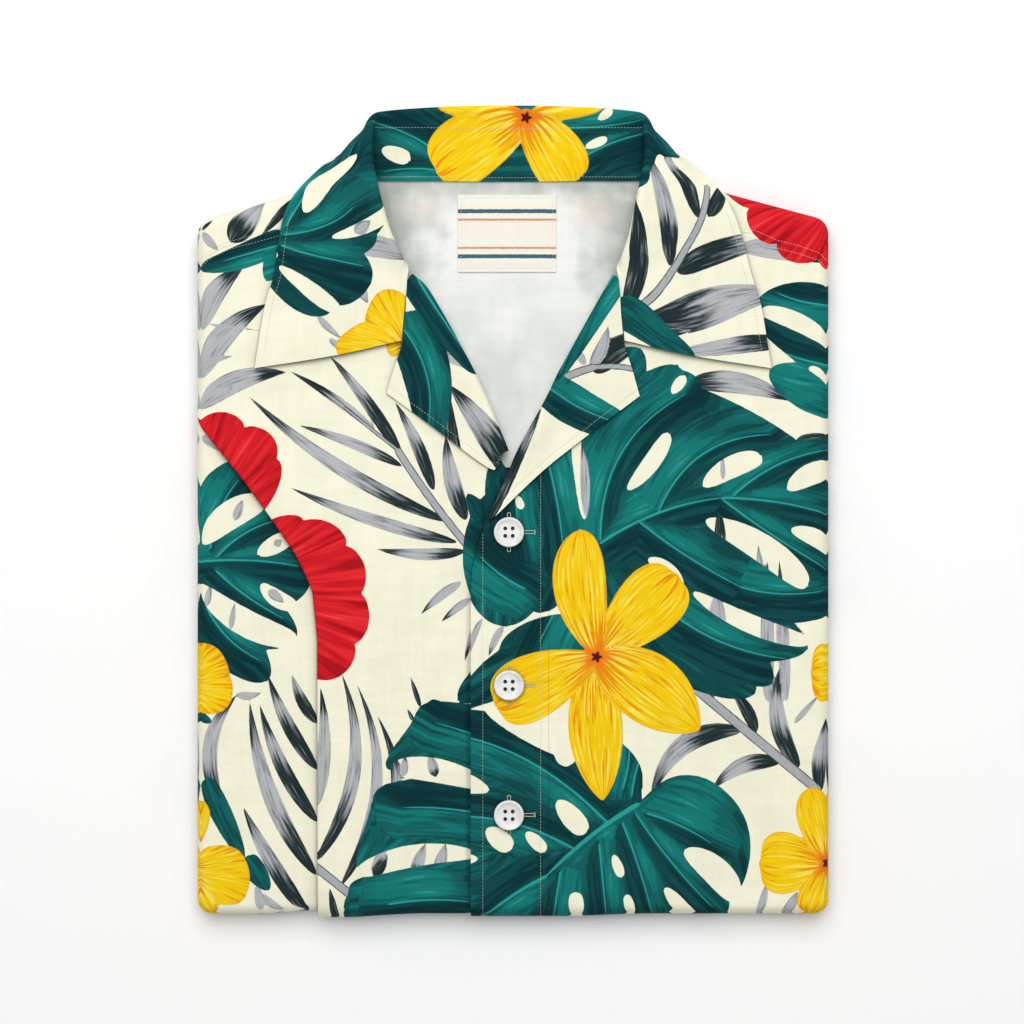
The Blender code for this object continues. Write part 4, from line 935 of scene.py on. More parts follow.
def insideCloth():
    made, tree, shader = newMaterial("insideCloth", 0.88, 0.0, 0.12)
    place = objectPlace(tree)
    weave = weaveBump(tree, shader, place, 1500.0, 0.8, 0.00022, 0.6)
    parts = addNode(tree, "ShaderNodeSeparateXYZ", {0: place}).outputs
    colour = blendColour(tree, noiseOf(tree, place, 45.0, 3.0), tint("ecede9"), tint("f5f5f2"))
    wobble = calc(tree, "MULTIPLY_ADD", noiseOf(tree, place, 70.0, 3.0), 1.6, -0.8)
    # blends in the show-through inks and the painted shade under the collar
    for x, y, wide, tall, share, code in insideLook["showThroughAndShade"]:
        dx = calc(tree, "DIVIDE", calc(tree, "SUBTRACT", parts[0], x * mm), wide * mm)
        dy = calc(tree, "DIVIDE", calc(tree, "SUBTRACT", parts[1], y * mm), tall * mm)
        away = calc(tree, "ADD", squareRoot(tree, dx, dy), wobble)
        colour = blendColour(tree, remap(tree, away, 1.5, 0.5, 0.0, share), colour, tint(code))
    dyedWeave(tree, shader, colour, weave["Slub"])
    return made


labelLook = {   # a woven label with plain bands
    "box": (-27.5, 21.5, 119.75, 158.25),   # x from, x to, y from, y to
    "bands": (   # how far above the lower border, half width, colour
        (8.0, 1.0, "2f5d6b"), (12.2, 0.5, "d98a5b"), (26.3, 0.5, "d98a5b"), (30.5, 1.0, "2f5d6b"),
    ),
    "bandSoftness": 0.12, "stitchInset": 1.6, "columns": 61, "rows": 49, "thin": 0.25,
    "puff": 0.25, "puffSpan": (1.6, 5.0), "dimple": 0.1, "dimpleWidth": 0.7,
}


def labelCloth():
    made, tree, shader = newMaterial("labelCloth", 0.62, 0.12, 0.35)
    place = objectPlace(tree)
    weaveBump(tree, shader, place, 3600.0, 0.2, 0.00012, 0.5)
    parts = addNode(tree, "ShaderNodeSeparateXYZ", {0: place}).outputs
    colour = blendColour(tree, noiseOf(tree, place, 900.0, 2.0), tint("ebe6d8"), tint("f6f2e8"))
    wave = calc(tree, "MULTIPLY", noiseOf(tree, place, 700.0, 1.0), 0.0005)
    level = calc(tree, "ADD", parts[1], wave)
    soft = labelLook["bandSoftness"]
    for centre, half, code in labelLook["bands"]:
        away = calc(tree, "ABSOLUTE", calc(tree, "SUBTRACT", level, (labelLook["box"][2] + centre) * mm))
        band = remap(tree, away, (half + soft) * mm, (half - soft) * mm)
        colour = blendColour(tree, band, colour, tint(code))
    tree.links.new(colour, shader.inputs["Base Color"])
    return made


def shellButton():
    made, tree, shader = newMaterial("shellButton", 0.3, 0.0, 0.5)
    shader.inputs["Coat Weight"].default_value = 0.25
    shader.inputs["Coat Roughness"].default_value = 0.2
    place = objectPlace(tree)
    cloud = noiseOf(tree, place, 180.0, 3.0)
    colour = blendColour(tree, remap(tree, cloud, 0.35, 0.65), tint("efefec"), tint("dcdcd8"))
    tree.links.new(colour, shader.inputs["Base Color"])
    tree.links.new(remap(tree, cloud, 0.3, 0.7, 0.26, 0.38), shader.inputs["Roughness"])
    bumpOn(tree, shader, noiseOf(tree, place, 420.0, 2.0), 0.0001, 0.25)
    return made


def sewingThread(name, light, dark):
    made, tree, shader = newMaterial(name, 0.6, 0.2, 0.35)
    fibre = noiseOf(tree, objectPlace(tree), 4200.0, 2.0)
    tree.links.new(blendColour(tree, fibre, tint(light), tint(dark)), shader.inputs["Base Color"])
    bumpOn(tree, shader, fibre, 0.00008, 0.6)
    return made


def floorPaint():
    made, tree, shader = newMaterial("floorPaint", 0.9, 0.0, 0.2)
    colour = blendColour(tree, noiseOf(tree, objectPlace(tree), 6.0, 2.0), tint("fdfdfd"), tint("fefefe"))
    tree.links.new(colour, shader.inputs["Base Color"])
    return made


looks = {
    "print": printedCloth(), "inside": insideCloth(), "label": labelCloth(), "shell": shellButton(),
    "thread": sewingThread("creamThread", "dddcc6", "c3c4b0"), "floor": floorPaint(),
    "labelThread": sewingThread("labelThread", "e9e4d6", "c9c2ae"),
    # the shank's dark thread also colours the button holes' walls, as painted shade inside them
    "shank": sewingThread("shankThreadAndHoleShade", "3d4441", "1f2423"),
}
print("materials built:", len(looks))


tuck = {   # the fold pressed down the wearer's right front; its edge is y and x
    "edge": ((-225.0, -96.7), (-63.7, -96.8), (-49.3, -98.2), (-39.7, -99.2), (-32.0, -102.4),
             (-21.0, -107.8), (-8.4, -116.3), (1.7, -123.4), (14.6, -132.8), (25.3, -141.2),
             (39.0, -152.5), (47.0, -159.0), (54.0, -161.0), (72.0, -156.0), (147.0, -132.0)),
    "under": 12.0, "radius": 0.85, "fades": (-20.0, 60.0), "settle": 46.0,
    "sink": 1.6, "sinkLeft": (-125.0, -100.0), "sinkRight": (-75.0, -35.0), "sinkRows": (186.0, 198.0),
    "turnSteps": 6, "flatSteps": 4, "leastRun": 0.4, "runSpan": (0.5, 1.0),
}
front = {
    "rows": 349, "top": 147.0, "bendStarts": 60.0, "rightBorder": 2.0, "borderTurns": (13.0, 27.0),
    "startColumns": 81, "endColumns": 129, "leftColumns": 165, "lowerPrintTop": 60.0,
    "border": ((25.0, 6.0), (40.0, 19.0), (57.0, 27.5), (77.0, 37.5), (100.0, 51.0), (112.0, 59.0),
               (122.0, 67.0), (147.0, 78.0)),
    "seamRight": ((60.0, 146.0), (90.0, 143.0), (116.0, 139.5), (128.2, 136.0), (137.0, 133.8),
                  (144.0, 131.4), (149.5, 128.6), (156.5, 123.8), (176.0, 119.0)),
    "seamLeft": ((60.0, 146.0), (90.0, 142.5), (112.5, 139.3), (120.5, 138.1), (131.4, 133.2),
                 (141.0, 130.8), (152.0, 127.2), (156.8, 124.1), (176.0, 119.0)),
}


def overhang(wrap):   # how far the flat cloth passes the pack's edge before it turns under
    return pack["spread"] * pack["edgeQuarter"] * pack[wrap] / 90.0 - pack["edgeReach"]


def clothRows(top, count):   # y of the rows, from the wrapped border up
    return np.linspace(pack["bottom"] - overhang("hemWrap"), top, count)


def sideBorder():
    return pack["halfWidth"] + overhang("sideWrap")


def upToSeam(y, x, seamTable):   # the top rows bend up to meet the yoke
    share = max(y - front["bendStarts"], 0.0) / (front["top"] - front["bendStarts"])
    seam = tableValue(seamTable, np.abs(x)) - pack["seam"]
    return y + (seam - front["top"]) * share ** 1.5


def creasedWall(name, flat, height=0.0):   # cloth on the pack, with its creases
    raised = height + creaseHeight(flat[..., 0], flat[..., 1]) - pack["cloth"] / 2
    return wallAbout(name, place(flat, raised), pack["cloth"], looks["print"])


def tuckSection(edgeX, strength, slant):   # x and height: to the right, back over itself, to the right again
    turnSteps, flatSteps = tuck["turnSteps"], tuck["flatSteps"]
    turn = math.pi * tuck["radius"] / turnSteps
    run = (tuck["leastRun"] + tuck["under"] * float(ease(strength, *tuck["runSpan"]))) / flatSteps
    rising = np.linspace(0.0, 1.0, turnSteps + 1)[1:]
    halfStep = 0.5 / turnSteps
    angles = np.concatenate([rising - halfStep, np.ones(flatSteps), 1.0 - rising + halfStep])
    lengths = np.array([turn] * turnSteps + [run] * flatSteps + [turn] * turnSteps)
    headings = angles * math.pi * min(2.0 * strength, 1.0)
    x = np.concatenate([[0.0], np.cumsum(np.cos(headings) * lengths)])
    height = np.concatenate([[0.0], np.cumsum(np.sin(headings) * lengths)])
    return (x - x[turnSteps + flatSteps:].min()) * slant + edgeX, height


def pressed(x, y):   # the tuck's layers sink where they go round the bottom fold
    beside = ease(x, *tuck["sinkLeft"]) * (1.0 - ease(x, *tuck["sinkRight"]))
    return tuck["sink"] * beside * ease(-y, *tuck["sinkRows"])


def frontRight():
    rows = clothRows(front["top"], front["rows"])
    edges = tableValue(tuck["edge"], rows)
    slants = np.hypot(1.0, np.gradient(edges, rows))
    strengths = 1.0 - ease(rows, *tuck["fades"])
    grid = []
    for y, edge, slant, strength in zip(rows, edges, slants, strengths):
        foldX, foldHeight = tuckSection(edge, float(strength), slant)
        turned = float(ease(y, *front["borderTurns"]))
        inner = front["rightBorder"] * (1.0 - turned) - tableValue(front["border"], y) * turned
        start = np.linspace(-sideBorder(), foldX[0], front["startColumns"])[:-1]
        end = np.linspace(foldX[-1], inner, front["endColumns"])[1:]
        settles = foldX[-1] + tuck["under"]
        fall = 1.0 - ease(end, settles, settles + tuck["settle"])
        x = np.concatenate([start, foldX, end])
        height = np.concatenate([np.zeros(len(start)), foldHeight, foldHeight[-1] * fall])
        grid.append(np.stack([x, upToSeam(y, x, front["seamRight"]), height - pressed(x, y)], axis=1))
    grid = np.array(grid)
    made, source = creasedWall("frontRight", grid[..., :2], grid[..., 2])
    u, v = printPlace(grid[..., :2])
    above, below = printFields(u, v, bodyPrint), printFields(u, v, sidePrint)
    under = np.zeros(grid.shape[:2], bool)
    under[:, :front["startColumns"] + tuck["turnSteps"] + 2] = True
    under &= (rows < front["lowerPrintTop"])[:, None]
    under = under.reshape(-1, 1)
    applyPrint(made, source, {name: np.where(under, below[name], above[name]) for name in above})
    return made


def frontLeft():
    grid = []
    for y in clothRows(front["top"], front["rows"]):
        inner = max(placket["seam"] + pack["seam"], float(tableValue(front["border"], y)))
        x = np.linspace(inner, sideBorder(), front["leftColumns"])
        grid.append(np.stack([x, upToSeam(y, x, front["seamLeft"])], axis=1))
    grid = np.array(grid)
    made, source = creasedWall("frontLeft", grid, leftLift(grid[..., 0]))
    dye(made, source, grid, bodyPrint)
    return made


placket = {
    "edge": ((-225.0, -21.0), (-40.0, -21.0), (-29.0, -20.2), (-17.0, -17.2), (-5.0, -13.2), (12.0, -10.0)),
    "seam": 17.75, "top": (2.0, 25.0), "rows": 241, "columns": 49,
    "stitches": (-15.0, 13.75), "stitchTops": (-11.0, 25.0), "stitchInset": 1.0, "dimple": 0.16,
    "dimpleWidth": 1.1, "headPower": 6,
    "slip": 2.2,   # how far the print misses its match at the free edge
}


def placketPlace(share, along):   # share 0 at the free edge and 1 at the seam; along runs up the rows
    rows = clothRows(0.0, placket["rows"])
    y = np.interp(along, np.linspace(0.0, 1.0, len(rows)), rows)
    edge = tableValue(placket["edge"], y)
    seam = placket["seam"] - pack["seam"]
    head = placket["top"][0] + (placket["top"][1] - placket["top"][0]) * share
    return edge + (seam - edge) * share, y + head * (1.0 - y / rows[0]) ** placket["headPower"]


def placketPiece():
    shares, alongs = (np.linspace(0.0, 1.0, placket[count]) for count in ("columns", "rows"))
    share, along = np.meshgrid(shares, alongs)
    x, y = placketPlace(share, along)
    nearEdge = tableValue(placket["edge"], y) + placket["stitchInset"]
    dimple = sum(np.exp(-((x - np.maximum(line, nearEdge)) / placket["dimpleWidth"]) ** 2)
                 for line in placket["stitches"])
    height = pack["leftLift"] - pack["cloth"] / 2 - placket["dimple"] * dimple
    grid = place(np.stack([x, y], axis=-1), height)
    made, source = wallAbout("placketStrip", grid, pack["cloth"], looks["print"])
    slipped = y + placket["slip"] * (1.0 - share) ** 2
    dye(made, source, np.stack([x, slipped], axis=-1), bodyPrint)
    return made


yoke = {"inner": 78.0, "columns": 113, "rows": 49}


def shoulderLine(x):
    slope = np.array([row[:2] for row in pack["corners"][2:]])[::-1]
    return np.interp(x, slope[:, 0], slope[:, 1]) + overhang("sideWrap")


def yokePiece(name, side, seamTable):
    across = np.linspace(sideBorder(), yoke["inner"], yoke["columns"])
    seam = tableValue(seamTable, across) + pack["seam"]
    crest = shoulderLine(across * side)
    shares = np.linspace(0.0, 1.0, yoke["rows"])[::side]
    flat = np.array([np.stack([across * side, seam + (crest - seam) * share], axis=1) for share in shares])
    flat = flat[:, ::-1]
    made, source = creasedWall(name, flat)
    dye(made, source, flat, bodyPrint)
    return made


layers = {
    "profile": (   # degrees round the edge, height at the sides, height at the bottom
        (92.0, -1.9, -3.6), (96.0, -2.5, -3.6), (99.0, -2.9, -3.6), (101.5, -2.2, -3.6),
        (104.5, -0.8, -3.6), (109.0, -0.3, -3.5), (114.0, -0.1, -3.4), (118.0, -0.2, -3.2),
        (121.0, -0.6, -3.0), (122.8, -1.9, -2.8), (124.0, -3.0, -2.6), (125.6, -2.2, -1.9),
        (128.0, -0.7, -1.0), (132.0, 0.0, -0.4), (136.0, 0.2, -0.1), (142.0, 0.1, 0.0),
        (147.0, -0.3, 0.0), (148.6, -1.5, 0.0), (150.0, -2.4, 0.0), (151.8, -1.6, 0.0),
        (154.0, -0.4, 0.0), (160.0, 0.1, 0.0), (166.0, 0.3, 0.0), (173.0, 0.2, 0.0),
    ),
    "clearGaps": 3.5, "edgeLength": 2.4, "underSpacing": 1.7, "underMargin": 0.55,
    "neckShift": -2.2, "step": 16.0, "stepWidth": (96.0, 112.0), "stepHeight": (7.2, 8.2),
    "stepRamp": (60.0, 150.0),
    "hollow": ((12.0, 5.0), (40.0, 24.0), (80.0, 45.0), (120.0, 68.0), (150.0, 86.0), (176.0, 92.0)),
    "floor": 10.4, "flare": 5.0, "point": 13.0, "slope": 3.0, "above": 8.0, "points": 13,
    "topScales": (0.1, 0.9, 9), "topDegrees": (10.0, 90.0, 10.0), "underShift": (18.0, -6.0),
    "hemSpan": (0.05, 0.35),   # how far an edge faces down the shirt before it counts as the bottom one
}


def edgeRing(around, outward, degrees, height):
    ring = roundEdge(around, outward, math.radians(degrees), height)
    ring[:, 2] = np.maximum(ring[:, 2], 0.0)
    return ring


def stepAtNeck(ring):
    inside = 1.0 - ease(np.abs(ring[:, 0] - layers["neckShift"]), *layers["stepWidth"])
    below = 1.0 - ease(ring[:, 2], *layers["stepHeight"])
    moved = ring.copy()
    moved[:, 1] -= layers["step"] * inside * below * ease(ring[:, 1], *layers["stepRamp"])
    return moved


def insideLine(points, line):   # which points lie inside a closed line
    found = np.zeros(len(points), bool)
    for (x0, y0), (x1, y1) in zip(line, np.roll(line, -1, axis=0)):
        crosses = (y0 > points[:, 1]) != (y1 > points[:, 1])
        at = x0 + (points[:, 1] - y0) * (x1 - x0) / (y1 - y0 if y1 != y0 else 1.0)
        found ^= crosses & (points[:, 0] < at)
    return found


def filledUnder(line, spacing):   # an even net of points inside a line, as triangles
    low, high = line.min(axis=0), line.max(axis=0)
    xs, ys = np.meshgrid(np.arange(low[0], high[0], spacing), np.arange(low[1], high[1], spacing))
    net = np.stack([xs.ravel(), ys.ravel()], axis=1)
    net = net[insideLine(net, line)]
    close = np.zeros(len(net), bool)
    for start, end in zip(line, np.roll(line, -1, axis=0)):
        way = end - start
        share = shareAlong(net, start, way)[:, None]
        close |= np.linalg.norm(net - start - share * way, axis=1) < spacing * layers["underMargin"]
    net = net[~close]
    points = np.concatenate([line, net])
    edges = [(k, (k + 1) % len(line)) for k in range(len(line))]
    filled = delaunay_2d_cdt([Vector(p) for p in points], edges, [list(range(len(line)))], 1, 1e-6)
    return np.array([tuple(p) for p in filled[0]]), [tuple(face) for face in filled[2]]


def foldedLayers():
    top = -pack["cloth"] - layers["clearGaps"] * pack["gap"]
    around = roundedOutline(pack["edgeReach"], pack["layerArcs"], layers["edgeLength"])
    following = np.roll(around, -1, axis=0) - np.roll(around, 1, axis=0)
    outward = unit(np.stack([following[:, 1], -following[:, 0]], axis=1))
    hem = ease(-outward[:, 1], *layers["hemSpan"])
    flat = [around * scale for scale in np.linspace(*layers["topScales"])]
    rings = [place(line, top) for line in flat]
    rings.append(place(around, top - tuck["sink"] * hem))
    flat.append(around)
    below = top - pack["gap"] - tuck["sink"] * hem
    heights = [(degrees, below) for degrees in np.arange(*layers["topDegrees"])]
    heights += [(degrees, side + (bottom - side) * hem) for degrees, side, bottom in layers["profile"]]
    for degrees, height in heights:
        ring = edgeRing(around, outward, degrees, height)
        rings.append(ring if degrees < 90.0 else stepAtNeck(ring))
        flat.append(around + outward * pack["edgeQuarter"] * degrees / 90.0)
    last = stepAtNeck(edgeRing(around, outward, 180.0, np.zeros(len(around))))
    under, triangles = filledUnder(last[:, :2], layers["underSpacing"])   # starts with the last ring
    count, first = len(around), 1 + len(rings) * len(around)
    underside = np.column_stack([under, np.zeros(len(under))])
    points = np.concatenate([rings[0].mean(axis=0)[None], *rings, underside])
    faces = [(0, 1 + k, 1 + (k + 1) % count) for k in range(count)]
    faces += ringFaces(len(rings) + 1, count, 1)
    faces += [tuple(first + k for k in reversed(face)) for face in triangles]
    made = meshPiece("foldedLayers", points, faces, looks["print"])
    cutAway(made, [neckHollow()])
    uncut = KDTree(len(points))
    for number, point in enumerate(points):
        uncut.insert(point * mm, number)
    uncut.balance()
    source = np.array([uncut.find(vertex.co)[1] for vertex in made.data.vertices])
    mirrored = under * (-1.0, 1.0) + layers["underShift"]
    dye(made, source, np.concatenate([np.zeros((1, 2)), *flat, mirrored]), bodyPrint)
    return made


def neckHollow():   # a block that leaves room for the neck and the collar's stand
    side = evenLine(layers["hollow"], layers["points"])[:, ::-1]
    floor = np.concatenate([side, side[::-1] * (-1.0, 1.0)])
    top = floor.copy()
    top[:, 0] += np.where(floor[:, 0] > 0, layers["flare"], -layers["flare"])
    top[:, 1] -= np.where(floor[:, 1] < layers["point"], layers["slope"], 0.0)
    shift = np.array([layers["neckShift"] / 2, 0.0])
    low = np.column_stack([floor + shift, np.full(len(floor), layers["floor"])])
    high = np.column_stack([top + shift, np.full(len(top), pack["height"] + layers["above"])])
    count = len(low)
    faces = [tuple(range(count))[::-1], tuple(range(count, 2 * count))]
    faces += [(k, (k + 1) % count, (k + 1) % count + count, k + count) for k in range(count)]
    return meshPiece("neckHollow", np.concatenate([low, high]), faces, looks["inside"])


inBack = {
    "halfWidth": 70.0, "ends": (22.0, 166.0), "clear": 3.0, "rise": 0.5, "riseTop": (130.0, 163.0),
    "riseFoot": (20.0, 70.0), "wave": 0.4, "waveLength": 26.0, "rows": 73, "columns": 57,
}


def backLevel(x, y):
    rise = inBack["rise"] * (ease(y, *inBack["riseTop"]) + 1.0 - ease(y, *inBack["riseFoot"]))
    wave = inBack["wave"] * np.cos(x / inBack["waveLength"]) ** 2
    return layers["floor"] + pack["gap"] + pack["cloth"] + rise + wave


def backPanel():
    lengths = np.linspace(*inBack["ends"], inBack["rows"])
    widths = np.minimum(tableValue(layers["hollow"], lengths) - inBack["clear"], inBack["halfWidth"])
    share = np.linspace(-1.0, 1.0, inBack["columns"])
    x = widths[:, None] * share + layers["neckShift"] / 2
    y = np.repeat(lengths[:, None], len(share), axis=1)
    upper = np.stack([x, y, backLevel(x, y)], axis=-1)
    return clothWall("backInside", upper, upper - (0.0, 0.0, pack["cloth"]), looks["inside"])[0]


def neckLabel():
    x0, x1, y0, y1 = labelLook["box"]
    x, y = np.meshgrid(np.linspace(x0, x1, labelLook["columns"]), np.linspace(y0, y1, labelLook["rows"]))
    edge = np.minimum(np.minimum(x - x0, x1 - x), np.minimum(y - y0, y1 - y))
    dimple = np.exp(-((edge - labelLook["stitchInset"]) / labelLook["dimpleWidth"]) ** 2)
    puff = labelLook["puff"] * ease(edge, *labelLook["puffSpan"]) - labelLook["dimple"] * dimple
    lower = np.stack([x, y, backLevel(x, y) + pack["gap"]], axis=-1)
    lift = (pack["cloth"] - labelLook["thin"] + puff)[..., None] * (0.0, 0.0, 1.0)
    return clothWall("neckLabel", lower + lift, lower, looks["label"])[0]


lapel = {
    "bend": 1.9, "puff": 2.6, "puffSpan": (0.0, 0.8), "rollTuck": 4.0, "rollStarts": (18.0, 48.0),
    "rim": 0.12, "rimSpan": (0.0, 2.5), "dimpleWidth": 1.0, "rows": 121, "columns": 72, "chain": 12,
    "leastArc": 0.2, "leastTail": 0.4,
    "rightRoll": ((-50.2, 117.6), (-41.5, 108.6), (-23.6, 77.0), (-13.9, 57.0), (-2.6, 30.0)),
    "rightTop": ((-51.8, 118.6), (-52.8, 112.0), (-53.7, 98.0), (-55.3, 84.2), (-59.4, 71.0), (-62.8, 58.8)),
    "rightLow": ((-62.8, 58.8), (-40.8, 42.8), (-12.0, 21.6), (-6.4, 24.8)),
    "leftRoll": ((50.0, 117.2), (40.0, 99.5), (23.5, 69.6), (16.8, 55.8), (0.5, 25.9), (-6.0, 10.8),
                 (-12.4, -3.2)),
    "leftTop": ((51.6, 118.6), (52.7, 112.0), (53.6, 98.0), (55.2, 84.4), (59.2, 71.0), (62.9, 57.4)),
    "leftLow": ((62.9, 57.4), (41.5, 41.2), (15.8, 21.0), (-6.5, -0.2), (-9.4, -2.6)),
}


def rolledChain(strength, bend, tail, steps):   # an edge that turns under: outward and drop
    arc = math.pi * bend * (lapel["leastArc"] + (1.0 - lapel["leastArc"]) * strength)
    headings = np.append(math.pi * strength * (np.arange(steps) + 0.5) / steps, math.pi * strength)
    lengths = np.append(np.full(steps, arc / steps), max(tail * strength, lapel["leastTail"]))
    outward = np.concatenate([[0.0], np.cumsum(np.cos(headings) * lengths)])
    return outward, np.concatenate([[0.0], np.cumsum(np.sin(headings) * lengths)])


def patchBetween(start, end, head, foot):
    u = np.linspace(0.0, 1.0, len(head))[None, :, None]
    v = np.linspace(0.0, 1.0, len(start))[:, None, None]
    corners = ((1 - u) * (1 - v) * start[0] + u * (1 - v) * end[0]
               + (1 - u) * v * start[-1] + u * v * end[-1])
    return (1 - u) * start[:, None] + u * end[:, None] + (1 - v) * head[None] + v * foot[None] - corners


def lapelPiece(name, roll, top, low, side, lift):
    rows, columns = lapel["rows"], lapel["columns"]
    line, end = evenLine(roll, rows), evenLine(low, rows)
    tangent = unit(np.gradient(line, axis=0))
    outward = np.stack([tangent[:, 1], -tangent[:, 0]], axis=1) * side
    strengths = ease(line[:, 1], *lapel["rollStarts"])
    chains = [rolledChain(s, lapel["bend"], lapel["rollTuck"], lapel["chain"]) for s in strengths]
    start = line - outward * np.array([chain[0].max() for chain in chains])[:, None]
    head = evenLine(top, columns)
    head += (start[0] - head[0]) * np.linspace(1.0, 0.0, columns)[:, None]
    flat = patchBetween(start, end, head, np.linspace(start[-1], end[-1], columns))
    across = np.linalg.norm(flat - flat[:, :1], axis=2)
    puff = lapel["puff"] * (1.0 - ease(across / across[:, -1:], *lapel["puffSpan"])) * strengths[:, None]
    rim = across[:, -1:] - across
    dimple = np.exp(-((rim - sewing["lapelInset"]) / lapel["dimpleWidth"]) ** 2)
    puff = puff + lapel["rim"] * (ease(rim, *lapel["rimSpan"]) - dimple)
    base = pack["gap"] + pack["faced"] / 2 + (leftLift(flat[..., 0]) if lift else 0.0)
    sheet = place(flat, base + puff)
    rolled = [[[*(start[k] + outward[k] * a), sheet[k, 0, 2] - b] for a, b in zip(*chains[k])][:0:-1]
              for k in range(rows)]
    grid = np.concatenate([np.array(rolled), sheet], axis=1)
    grid = grid if side < 0 else grid[:, ::-1]
    made, source = wallAbout(name, grid, pack["faced"], looks["print"])
    dye(made, source, grid[..., :2], lapelPrint)
    return made, sheet


collar = {   # right half from its tip to the middle of the back: roll, foot, brow and edge (x, y, z each)
    "half": (
        (56.6, 84.6, 19.6, 57.0, 84.6, 19.5, 88.0, 77.6, 20.2, 128.4, 71.2, 19.4),
        (55.2, 99.0, 20.2, 56.0, 99.0, 19.9, 86.0, 93.0, 20.7, 123.4, 101.5, 19.4),
        (53.8, 113.0, 21.2, 55.0, 113.0, 20.4, 84.0, 113.0, 21.5, 119.4, 115.0, 19.4),
        (54.2, 123.0, 22.6, 58.5, 123.5, 19.8, 84.0, 124.0, 22.4, 117.6, 122.0, 19.4),
        (59.6, 138.0, 24.6, 69.0, 139.5, 19.4, 86.0, 137.0, 23.6, 115.0, 136.0, 19.3),
        (62.6, 150.0, 25.4, 75.0, 151.5, 19.6, 90.0, 147.5, 23.8, 111.0, 149.0, 19.6),
        (66.0, 165.0, 25.6, 79.0, 161.0, 18.4, 91.5, 160.0, 22.8, 104.0, 160.5, 17.2),
        (68.6, 180.0, 24.2, 77.0, 166.4, 15.0, 84.0, 174.4, 19.6, 88.6, 176.0, 9.4),
        (68.6, 190.6, 21.0, 70.0, 165.8, 13.6, 78.0, 184.2, 14.2, 79.0, 179.0, 5.4),
        (67.0, 196.8, 18.4, 63.0, 165.3, 13.1, 69.0, 187.4, 8.6, 68.0, 173.0, 3.4),
        (60.0, 199.0, 16.4, 56.0, 165.2, 12.9, 60.0, 187.0, 6.2, 58.0, 166.5, 3.0),
        (40.0, 201.0, 14.0, 38.0, 165.2, 12.8, 40.0, 188.0, 4.4, 38.0, 160.5, 2.6),
        (20.0, 202.0, 13.0, 19.0, 164.9, 12.8, 20.0, 188.0, 4.2, 19.0, 159.5, 2.6),
        (0.0, 202.2, 12.8, 0.0, 164.8, 12.8, 0.0, 188.0, 4.2, 0.0, 159.0, 2.6),
    ),
    "bend": 2.3, "stand": (1.6, 9.0), "steps": 20, "pull": 0.33, "onPack": (140.0, 160.0),
    "neckShift": -2.2, "shiftSpan": (110.0, 160.0), "behind": (165.0, 190.0),
    "plain": (1.2, 3.0), "footSpan": (0.5, 1.0),   # length inside the roll without a stand, and its start
    "inner": 24, "chain": 12, "outer": 48, "fall": 43,
}


def collarRows():
    half = np.array(collar["half"])
    mirror = np.array([-1.0, 1.0, 1.0] * 4)
    full = np.concatenate([half * mirror, half[-2::-1]])
    rows = throughPoints(full, collar["steps"])
    for first in (0, 3, 6, 9):
        rows[:, first] += collar["neckShift"] * ease(rows[:, first + 1], *collar["shiftSpan"])
        onPack = 1.0 - ease(rows[:, first + 1], *collar["onPack"])
        rise = crown(rows[:, first:first + 2]) + leftLift(rows[:, first]) * (rows[:, first] > 0.0)
        rows[:, first + 2] += rise * onPack
    return rows


def curveThrough(start, startWay, end, endWay, count):
    reach = np.linalg.norm(end - start) * collar["pull"]
    first, second = start + startWay * reach, end - endWay * reach
    t = np.linspace(0.0, 1.0, count, endpoint=False)[:, None]
    return ((1 - t) ** 3 * start + 3 * (1 - t) ** 2 * t * first
            + 3 * (1 - t) * t ** 2 * second + t ** 3 * end)


def collarSection(row):   # up the stand, round the roll, over the brow and down to the edge
    roll, foot, brow, edge = row.reshape(4, 3)
    toFoot, toBrow = unit(foot - roll), unit(brow - roll)
    strength = float(ease(np.linalg.norm(foot - roll), *collar["stand"]))
    opening = unit(toFoot * strength + toBrow)
    up = (toBrow - toFoot) * strength + np.array([0.0, 0.0, 1.0 - strength])
    spread = unit(up - (up @ opening) * opening)
    outward, drop = rolledChain(strength, collar["bend"], 0.0, collar["chain"])
    start = roll + opening * outward.max() + spread * collar["bend"] * strength
    arc = [start - opening * a - spread * b for a, b in zip(outward, drop)][:0:-1]
    turnEnd = unit(arc[1] - arc[0])
    plain = arc[0] - turnEnd * (collar["plain"][0] + collar["plain"][1] * strength)
    foot = plain + (foot - plain) * float(ease(strength, *collar["footSpan"]))
    inner = curveThrough(foot, unit(arc[0] - foot), arc[0], turnEnd, collar["inner"])
    fallWay = unit(edge - start)
    outer = curveThrough(start, opening, brow, fallWay, collar["outer"])
    dropLine = curveThrough(brow, fallWay, edge, unit(edge - brow), collar["fall"])
    return np.concatenate([inner, arc, outer, dropLine, [edge]])


def collarPiece():
    rows = collarRows()[::-1]   # from the left tip, so that the face with the print is the upper one
    grid = np.array([collarSection(row) for row in rows])
    turnAt = collar["inner"] + collar["chain"] // 2
    travel = travelAlong(grid)
    travel -= travel[:, turnAt:turnAt + 1]
    away = unit(rows[:, 9:11] - rows[:, 0:2])   # from the roll to the edge, and straight back behind the neck
    behind = ease(rows[:, 1], *collar["behind"])[:, None]
    away = unit(away * (1.0 - behind) + np.array([0.0, 1.0]) * behind)
    flat = grid[..., :2].copy()
    fallen = travel > 0.0
    spreadOut = grid[:, turnAt, None, :2] + away[:, None] * travel[..., None]
    flat[fallen] = spreadOut[fallen]
    made, source = wallAbout("collarPiece", grid, pack["faced"], looks["print"])
    dye(made, source, flat, collarPrint, turned=False)
    return made, grid


